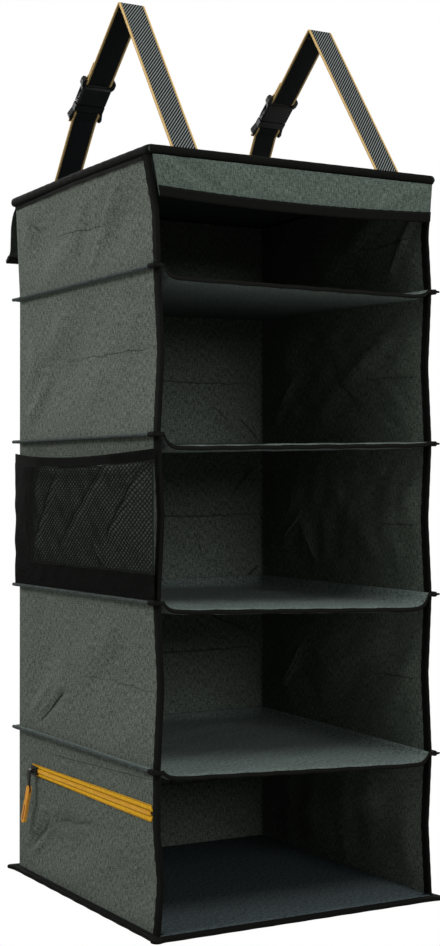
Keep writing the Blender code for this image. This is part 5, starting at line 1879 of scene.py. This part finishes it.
@dataclass
class ZipPocket:
    """The zip in the fifth compartment's left wall with its tapes, coil and bag."""

    front: float = -0.1475
    rear: float = 0.1170
    tape_width: float = 0.0075
    rear_width: float = 0.0056
    tape: float = 0.0009
    end: float = 0.0025
    chain: float = 0.0036
    chain_depth: float = 0.0024
    coil_pitch: float = 0.0016
    wire: float = 0.00042
    coil_steps: int = 14
    slider_room: float = 0.0074
    folded_share: float = 0.065
    bag: Pair = (0.2695, 0.107)
    bag_heights: Pair = (0.022, 0.129)
    bag_overlap: float = 0.005
    bag_bulge: float = 0.006
    bag_waves: Pair = (0.035, 0.0012)
    bag_cloth: float = 0.0007

    def out(self, distance: float) -> float:
        """X of a plane outward from the wall's middle."""
        return BOX.side(5, -1) - distance

    def near(self) -> float:
        """How far from the wall's middle the tapes and the chain begin."""
        return BOX.fabric / 2.0 + BOX.clearance

    def build_tape(self, name: str, side: int) -> None:
        """Make one tape with its sewn-down outer edge.

        Args:
            name: the CAD node it stands for.
            side: 1 above the chain, -1 below.
        """
        y = steps(self.front - self.end, self.rear + self.end, 90)[:, None]
        outer = mix(self.tape_width, self.rear_width, smooth(self.front, self.rear, y))
        outer = outer - 0.004 * np.clip(1.0 - (y - y[0]) / 0.004, 0.0, 1.0) ** 2
        across = np.linspace(0.0, 1.0, 9)
        z = ZIP_HEIGHT + side * mix(self.chain / 2.0 + BOX.clearance, outer, across)
        lift = 0.00025 * np.sin(math.pi * across) + 0.00012 * np.cos(y * math.tau / 0.019)
        points = grid(self.out(self.near() + self.tape / 2.0) - lift, y, z)[::-side]
        item = Sheet(points, self.tape).build(name + "_cloth", ZIP_CLOTH)
        Wall(5).flatten(outfit(item, name))

    def build_chain(self) -> None:
        """Make the closed chain: two nylon coils that mesh along the middle."""
        pitch = self.coil_pitch * 1.0
        turns = int((self.rear - self.slider_room - self.front - BOX.clearance) / pitch)
        angle = np.arange(turns * self.coil_steps) * math.tau / self.coil_steps
        half_depth = self.chain_depth / 2.0 - self.wire
        half_wide = self.chain / 4.0 - self.wire * 0.6
        coils = []
        for side, shift in ((-1, 0.0), (1, pitch / 2.0)):
            y = self.front + BOX.clearance + self.wire + angle / math.tau * pitch + shift
            z = ZIP_HEIGHT + side * (self.chain / 4.0 + half_wide * np.cos(angle))
            x = self.out(self.near() + self.chain_depth / 2.0) + half_depth * np.sin(angle)
            coils.append(grid(x, y, z))
        item = tubes("zip_chain_coil", coils, self.wire, 5, COIL)
        outfit(item, "zip_chain", "zip_chain")
        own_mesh(item)

    def build_bag(self) -> None:
        """Make the lining that hangs behind the zip."""
        u = steps(0.0, 1.0, 50)[:, None]
        v = steps(0.0, 1.0, 36)
        y = mix(self.front, self.rear + self.bag_overlap, u)
        z = mix(*self.bag_heights, v)
        full = np.minimum(1.6 * np.sin(math.pi * u), 1.0) * np.minimum(1.6 * np.sin(math.pi * v), 1.0)
        near = BOX.slack(5, "left", 0.0, (z - BOX.base_slab) / (BOX.shelf_levels[-1] - BOX.base_slab))
        edge = BOX.fabric + BOX.clearance + np.maximum(near, 0.0)
        waves = Ripples(44, *self.bag_waves).at(y, z) * full
        x = self.out(0.0) + edge + self.bag_bulge * full + np.maximum(waves, -0.0005)
        item = Sheet(grid(x, y, z)[::-1], self.bag_cloth).build("zip_pocket_bag_cloth", INNER)
        Wall(5).flatten(outfit(item, "zip_pocket_bag"))

    def build(self) -> None:
        """Make the tapes, the chain and the bag."""
        self.build_tape("zip_tape_upper", 1)
        self.build_tape("zip_tape_lower", -1)
        self.build_chain()
        self.build_bag()


def tubes(name: str, paths: Iterable[np.ndarray], radius: float, sides: int, finish: Any) -> bpy.types.Object:
    """Round wires along paths as one piece.

    Args:
        name: the piece's name.
        paths: points of each wire in the box frame.
        radius: the wire's radius.
        sides: faces round it.
        finish: what it is dressed in.

    Returns:
        The object.
    """
    vertices: list = []
    faces: list = []
    for path in paths:
        tangent = np.gradient(path, axis=0)
        tangent = tangent / np.linalg.norm(tangent, axis=1, keepdims=True)
        first = np.cross(tangent, (0.31, 0.87, 0.38))
        first = first / np.linalg.norm(first, axis=1, keepdims=True)
        second = np.cross(tangent, first)
        angle = (np.arange(sides) * math.tau / sides)[:, None]
        ring = first[:, None] * np.cos(angle) + second[:, None] * np.sin(angle)
        start = len(vertices)
        vertices.extend((path[:, None] + ring * radius + SHIFT).reshape(-1, 3).tolist())
        last = len(vertices) - sides
        for low in range(start, last, sides):
            for side in range(sides):
                after = (side + 1) % sides
                faces.append((low + side, low + after, low + sides + after, low + sides + side))
        faces.append(tuple(start + side for side in reversed(range(sides))))
        faces.append(tuple(last + side for side in range(sides)))
    mesh = bpy.data.meshes.new(name)
    mesh.from_pydata(vertices, [], faces)
    mesh.shade_smooth()
    return place_mesh(name, mesh, finish)


@dataclass
class PullerGroove:
    """The moulded puller's grip groove, as a darker inlay in its outer face: the darker colour is painted
    shade for the groove's recess.
    """

    pivot: Pair = (0.15325, -0.7717)
    face: float = -0.16072
    swing: float = 22.0
    middle: float = -0.0275
    length: float = 0.0175
    width: float = 0.0026
    depth: float = 0.0006
    proud: float = 0.00006
    bevel: float = 0.0002

    def build(self) -> None:
        """Make the inlay."""
        bpy.ops.object.select_all(action="DESELECT")
        turn = math.radians(self.swing)
        y = self.pivot[0] - self.middle * math.sin(turn)
        z = self.pivot[1] + self.middle * math.cos(turn)
        bpy.ops.mesh.primitive_cube_add(
            size=1.0,
            location=(self.face + self.depth / 2.0 - self.proud, y, z),
            rotation=(turn, 0.0, 0.0),
            scale=(self.depth, self.width, self.length),
        )
        item = bpy.context.active_object
        bpy.ops.object.transform_apply(location=True, rotation=True, scale=True)
        item.name = "zip_puller_groove"
        item.data.materials.append(WARDROBE.get(GROOVE_SHADE))
        rounding = item.modifiers.new("edges", "BEVEL")
        rounding.width = self.bevel
        rounding.segments = 2
        apply_modifiers(item)
        LOG.info("%s: %d faces", item.name, len(item.data.polygons))
        outfit(item, body="zip_puller")


# Storage flap


@dataclass
class RearFlap:
    """The flap sewn behind the top, with its taped hem."""

    half_width: float = 0.145
    reach: float = 0.0270
    drop: float = 0.0560
    flare: float = 0.0090
    corner_flare: float = 0.0075
    hem_wave: float = 0.0035
    hem_waves: float = 3.0
    cloth: float = 0.0013
    flat_drop: float = 0.0700
    tape_height: float = 0.0080
    form: tuple[Pair, ...] = ((0.42, 0.0), (0.80, 0.14), (1.0, 0.36), (0.97, 0.62))

    def wave(self, x: np.ndarray, drop: np.ndarray) -> np.ndarray:
        """Wave of the hem.

        Args:
            x: place across the flap.
            drop: height against the seam, so 0 or less.

        Returns:
            How far the cloth stands out.
        """
        share = np.clip(-drop / self.drop, 0.0, 1.0)
        corner = smooth(self.half_width - 0.035, self.half_width, np.abs(x))
        hem = self.hem_wave * np.cos(math.pi * self.hem_waves * x / self.half_width)
        return share * share * (hem + self.corner_flare * corner)

    def curve(self, corners: Sequence[Pair], count: int) -> np.ndarray:
        """Points spread evenly along a line of corners.

        Args:
            corners: the line's corners.
            count: how many points.

        Returns:
            The points, rounded at the corners.
        """
        line = np.array(corners)
        length = run_length(line)
        path = along_line(line, length, np.linspace(0.0, length[-1], count))
        for _ in range(2):
            path[1:-1] = (path[:-2] + 2.0 * path[1:-1] + path[2:]) / 4.0
        return path

    def points(self, side: np.ndarray, calm: float) -> np.ndarray:
        """Points of a piece with a given side view, whose waves start within calm of the seam.

        Args:
            side: the side view, as distances outward and up from the seam.
            calm: how far from the seam the waves reach their full height.

        Returns:
            The grid.
        """
        x = steps(-self.half_width, self.half_width, 90)[:, None]
        out, up = side.T
        soft = Ripples(91, 0.04, 0.0006).at(x, up) * smooth(0.0, calm, -up)
        y = BOX.rim_half_depth + 0.0015 + out + self.wave(x, up) + soft
        return grid(x, y, BOX.top_level + BOX.clearance + BOX.rim_height / 2.0 + up)

    def build(self) -> None:
        """Make the flap and its tape."""
        hem_top = (self.reach - 0.0015, -self.drop + self.tape_height)
        hem_end = (self.reach + self.flare, -self.drop)
        fall = [(self.reach * out, -self.drop * down) for out, down in self.form]
        side = self.curve([(2.0 * BOX.clearance - 0.0015, 0.0), *fall, hem_top, hem_end], 30)
        flap = Sheet(self.points(side, 0.03), self.cloth).build("rear_flap_cloth", INNER)
        outfit(flap, "rear_flap", "rear_flap")

        along = np.array(hem_end) - np.array(hem_top)
        along = along / np.linalg.norm(along)
        normal = np.array((along[1], -along[0]))
        reach = BOX.tape_reach() + BOX.clearance
        run = np.linspace(-self.tape_height, -0.0006, 5)
        place, across = hairpin(run, reach, 0.0, 0.0003)
        end = np.array(hem_end) + along * (BOX.clearance * 2.0 + BOX.tape / 2.0)
        fold = end + along * place[:, None] + normal * across[:, None]
        tape = Sheet(self.points(fold, 0.001), BOX.tape).build("rear_flap_binding_tape", TAPE)
        outfit(tape, "rear_flap_binding", "rear_flap")


# Straps


def fillet(points: Sequence[Sequence[float]], radius: float, count: int = 12) -> list[Vector]:
    """A side-view path whose corners are rounded to a radius.

    Args:
        points: the path's corners.
        radius: the rounding's radius.
        count: steps in each rounding.

    Returns:
        The path's points.
    """
    path = [Vector(points[0])]
    for before, corner, after in zip(points, points[1:], points[2:]):
        middle = Vector(corner)
        inward = (middle - Vector(before)).normalized()
        onward = (Vector(after) - middle).normalized()
        turn = inward.angle_signed(onward)
        centre = middle + (onward - inward).normalized() * (radius / math.cos(turn / 2.0))
        spoke = middle - inward * (radius * math.tan(abs(turn) / 2.0)) - centre
        for step in range(count + 1):
            angle = -turn * step / count
            cosine, sine = math.cos(angle), math.sin(angle)
            turned = (spoke.x * cosine - spoke.y * sine, spoke.x * sine + spoke.y * cosine)
            path.append(centre + Vector(turned))
    path.append(Vector(points[-1]))
    return path


@dataclass
class Strap:
    """One hanging strap, seen from the side; points are (y, height over the top)."""

    side: str
    centre_x: float
    apex: Pair
    buckle_top: Pair
    buckle_bottom: Pair
    foot_y: float
    width: float = 0.027
    webbing: float = 0.0014
    bar: float = 0.0014
    buckle_length: float = 0.0495
    loop_slack: float = 0.0024
    sewn_length: float = 0.022
    foot_radius: float = 0.0030
    apex_radius: float = 0.00135
    apex_part: float = 0.010
    loop_end: float = 0.019
    spacing: float = 0.004
    columns: Run = (-0.5, -0.49, -0.46, -0.4, -0.2, 0.0, 0.2, 0.4, 0.46, 0.49, 0.5)

    def lift(self, point: Pair) -> Vector:
        """A point's place in the box frame."""
        ground = BOX.top_level + BOX.clearance + BOX.rim_height - 0.0012 + self.webbing / 2.0
        return Vector((point[0], point[1] + ground))

    def at(self, outward: float, up: float) -> Vector:
        """Point in the buckle's own axes: outward from the strap, up along it.

        Args:
            outward: distance from the strap's line.
            up: distance up it, 0 at the buckle's top.

        Returns:
            The point as (y, z).
        """
        top = self.lift(self.buckle_top)
        low = self.lift(self.buckle_bottom)
        angle = math.atan2(low.x - top.x, top.y - low.y)
        y = top.x + outward * math.cos(angle) - up * math.sin(angle)
        z = top.y + outward * math.sin(angle) + up * math.cos(angle)
        return Vector((y, z))

    def ribbon(self, name: str, path: Sequence[Vector], flip: bool = False) -> bpy.types.Object:
        """Webbing along a side-view path.

        Args:
            name: the CAD node it stands for.
            path: its points.
            flip: turns the cloth over.

        Returns:
            The object.
        """
        line = np.array([tuple(point) for point in path])
        length = run_length(line)
        extra = np.arange(0.0, length[-1], self.spacing)
        line = along_line(line, length, np.unique(np.round(np.concatenate((length, extra)), 6)))
        points = grid(self.centre_x + self.width * np.array(self.columns), line[:, :1], line[:, 1:])
        if flip:
            points = points[:, ::-1]
        item = Sheet(points, self.webbing * 0.96).build(name + "_webbing", STRAPPING)
        outfit(item, name)
        return item

    def build(self) -> None:
        """Make the strap's three runs."""
        prefix = "strap_" + self.side
        wrap = self.bar + BOX.clearance + self.webbing / 2.0
        apex = self.lift(self.apex)
        down = (self.lift(self.buckle_top) - apex).normalized()
        front = self.lift((BOX.rim_lip + 0.0026 - BOX.rim_half_depth, 0.0))
        foot = Vector((front.x + self.sewn_length, front.y))
        leg = fillet((foot, front, apex, apex + down * self.apex_part), self.apex_radius)
        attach(self.ribbon(prefix + "_front", leg), "top")

        hub = -self.bar - BOX.clearance * 2.0
        bar = np.linspace(math.pi, math.tau, 15)
        loop = [self.at(wrap * math.cos(a), hub + (wrap + self.loop_slack) * math.sin(a)) for a in bar]
        doubled = -wrap + self.webbing + BOX.clearance * 2.5
        rest = [self.at(doubled, hub + 0.0065), self.at(doubled, self.loop_end)]
        start = apex + down * (self.apex_part + BOX.clearance)
        item = self.ribbon(prefix + "_upper", [start, self.at(-wrap, 0.0095)] + loop + rest)
        end = Vector((self.centre_x, *self.at(0.0, self.loop_end))) + Vector(SHIFT)
        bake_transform(item)

        ladder = -self.buckle_length + 5.0 * self.bar + BOX.clearance * 2.0
        bar = np.linspace(math.pi, 0.0, 15)
        turn = [self.at(wrap * math.cos(a), ladder + wrap * math.sin(a)) for a in bar]
        bend = self.at(-wrap, -self.buckle_length - self.bar)
        low = self.lift((self.foot_y, 0.0))
        leg = fillet((Vector((low.x + self.sewn_length, low.y)), low, bend), self.foot_radius)
        tail = [
            self.at(wrap, -self.buckle_length + self.bar),
            self.at(wrap * 1.5, -self.buckle_length - 0.0065),
        ]
        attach(self.ribbon(prefix + "_lower", leg + turn + tail, flip=True), "top")


STRAPS = (
    Strap("left", -0.122, (-0.049, 0.1580), (0.0210, 0.1006), (0.0586, 0.0684), 0.108),
    Strap("right", 0.100, (-0.037, 0.1650), (0.0330, 0.1100), (0.0720, 0.0785), 0.112),
)


@dataclass
class Hardware:
    """The CAD pieces that stay in place and get their finishes by slot."""

    finishes: dict[str, Any] = field(
        default_factory=lambda: {
            "buckle_plastic": PLASTIC,
            "zip_metal": METAL,
            "puller_plastic": PULLER,
            "stiffener": BOARD,
        }
    )

    def build(self) -> None:
        """Dress each kept piece."""
        slots = {part["node"]: part["material_slot"] for part in frame["record"]["subparts"]}
        for name, item in frame["nodes"].items():
            finish = self.finishes.get(slots.get(name))
            if finish and not item.hide_render:
                item.data.materials.clear()
                item.data.materials.append(WARDROBE.get(finish))
                LOG.info("%s dressed in %s", name, finish.name)


# Studio


@dataclass(frozen=True)
class Lamp:
    """A square area lamp aimed at a point."""

    name: str
    place: Triple
    goal: Triple
    size: float
    power: float

    def build(self) -> None:
        """Hang the lamp."""
        data = bpy.data.lights.new(self.name, "AREA")
        data.size = self.size
        data.energy = self.power
        item = bpy.data.objects.new(self.name, data)
        item.location = self.place
        item.rotation_euler = (Vector(self.goal) - Vector(self.place)).to_track_quat("-Z", "Y").to_euler()
        bpy.context.scene.collection.objects.link(item)


LAMPS = (
    Lamp("left", (-1.5, -0.15, 0.75), (0.0, 0.0, -0.35), 0.7, 18.5),
    Lamp("high", (0.0, -1.20, 1.30), (0.0, 0.0, -0.45), 0.8, 26.0),
    Lamp("front", (0.30, -2.8, 0.30), (0.0, 0.0, -0.45), 1.0, 27.0),
    Lamp("right", (2.3, 0.4, 0.35), (0.0, 0.0, -0.40), 1.2, 32.0),
    Lamp("rear", (-0.3, 2.3, 0.5), (0.0, 0.0, -0.40), 1.4, 36.0),
)


@dataclass
class Studio:
    """Camera, lamps and the white surroundings."""

    place: Triple = (-0.8265, -1.4151, -0.4587)
    turn: Triple = (90.361, 0.0, -29.646)
    lens: float = 62.81
    sensor: float = 36.0
    ambient: float = 0.30
    tint: tuple[float, float, float, float] = (1.02, 1.0, 0.93, 1.0)
    white: tuple[float, float, float, float] = (1.0, 1.0, 1.0, 1.0)
    floor_colour: tuple[float, float, float, float] = (0.8, 0.8, 0.8, 1.0)
    floor_level: float = -1.9
    floor_size: float = 30.0

    def camera(self) -> None:
        """Put the camera where the photo was taken from."""
        data = bpy.data.cameras.new("camera")
        data.lens = self.lens
        data.sensor_width = self.sensor
        data.clip_start = 0.01
        item = bpy.data.objects.new("camera", data)
        item.location = self.place
        item.rotation_euler = [math.radians(angle) for angle in self.turn]
        bpy.context.scene.collection.objects.link(item)
        bpy.context.scene.camera = item

    def surroundings(self) -> None:
        """A white room that is pure white to the camera."""
        world = bpy.data.worlds.new("studio")
        bpy.context.scene.world = world
        world.use_nodes = True
        tree = world.node_tree
        light = tree.nodes["Background"]
        light.inputs["Color"].default_value = self.tint
        light.inputs["Strength"].default_value = self.ambient
        seen = tree.nodes.new("ShaderNodeBackground")
        seen.inputs["Color"].default_value = self.white
        path = tree.nodes.new("ShaderNodeLightPath")
        switch = tree.nodes.new("ShaderNodeMixShader")
        either = tree.nodes.new("ShaderNodeMath")
        either.operation = "MAXIMUM"
        for start, end in (
            (path.outputs["Is Camera Ray"], either.inputs[0]),
            (path.outputs["Is Transmission Ray"], either.inputs[1]),
            (either.outputs[0], switch.inputs[0]),
            (light.outputs[0], switch.inputs[1]),
            (seen.outputs[0], switch.inputs[2]),
            (switch.outputs[0], tree.nodes["World Output"].inputs[0]),
        ):
            tree.links.new(start, end)

    def floor(self) -> None:
        """A pale floor well below the hanging object."""
        bpy.ops.object.select_all(action="DESELECT")
        bpy.ops.mesh.primitive_plane_add(size=self.floor_size, location=(0.0, 0.0, self.floor_level))
        item = bpy.context.active_object
        item.name = "floor"
        graph = Graph("floor")
        graph.dress({"Base Color": self.floor_colour, "Roughness": 0.9})
        seen = graph.node("ShaderNodeEmission", inputs={"Color": self.white, "Strength": 1.0})
        path = graph.node("ShaderNodeLightPath")
        switch = graph.node("ShaderNodeMixShader")
        surface = graph.tree.nodes["Material Output"].inputs["Surface"]
        for start, end in (
            (path.outputs["Is Camera Ray"], switch.inputs[0]),
            (surface.links[0].from_socket, switch.inputs[1]),
            (seen.outputs[0], switch.inputs[2]),
            (switch.outputs[0], surface),
        ):
            graph.tree.links.new(start, end)
        item.data.materials.append(graph.material)

    def build(self) -> None:
        """Set up the shot."""
        bpy.context.scene.view_settings.view_transform = "Standard"
        self.camera()
        self.surroundings()
        self.floor()
        for lamp in LAMPS:
            lamp.build()


def main() -> None:
    """Build every piece in order, then the studio."""
    logging.basicConfig(level=logging.INFO, format="%(name)s %(message)s")
    Walls().build()
    for level in range(1, 5):
        shelf = Shelf(level)
        shelf.build_cover()
        shelf.build_tape()
        shelf.build_end("left")
        shelf.build_end("right")
    top = Top()
    top.build_cover()
    top.build_rim()
    top.build_facing()
    Header().build()
    base = Base()
    base.build_cover()
    base.build_tape()
    MeshPocket().build()
    ZipPocket().build()
    PullerGroove().build()
    RearFlap().build()
    for strap in STRAPS:
        strap.build()
    Hardware().build()
    Studio().build()


if __name__ == "__main__":
    main()
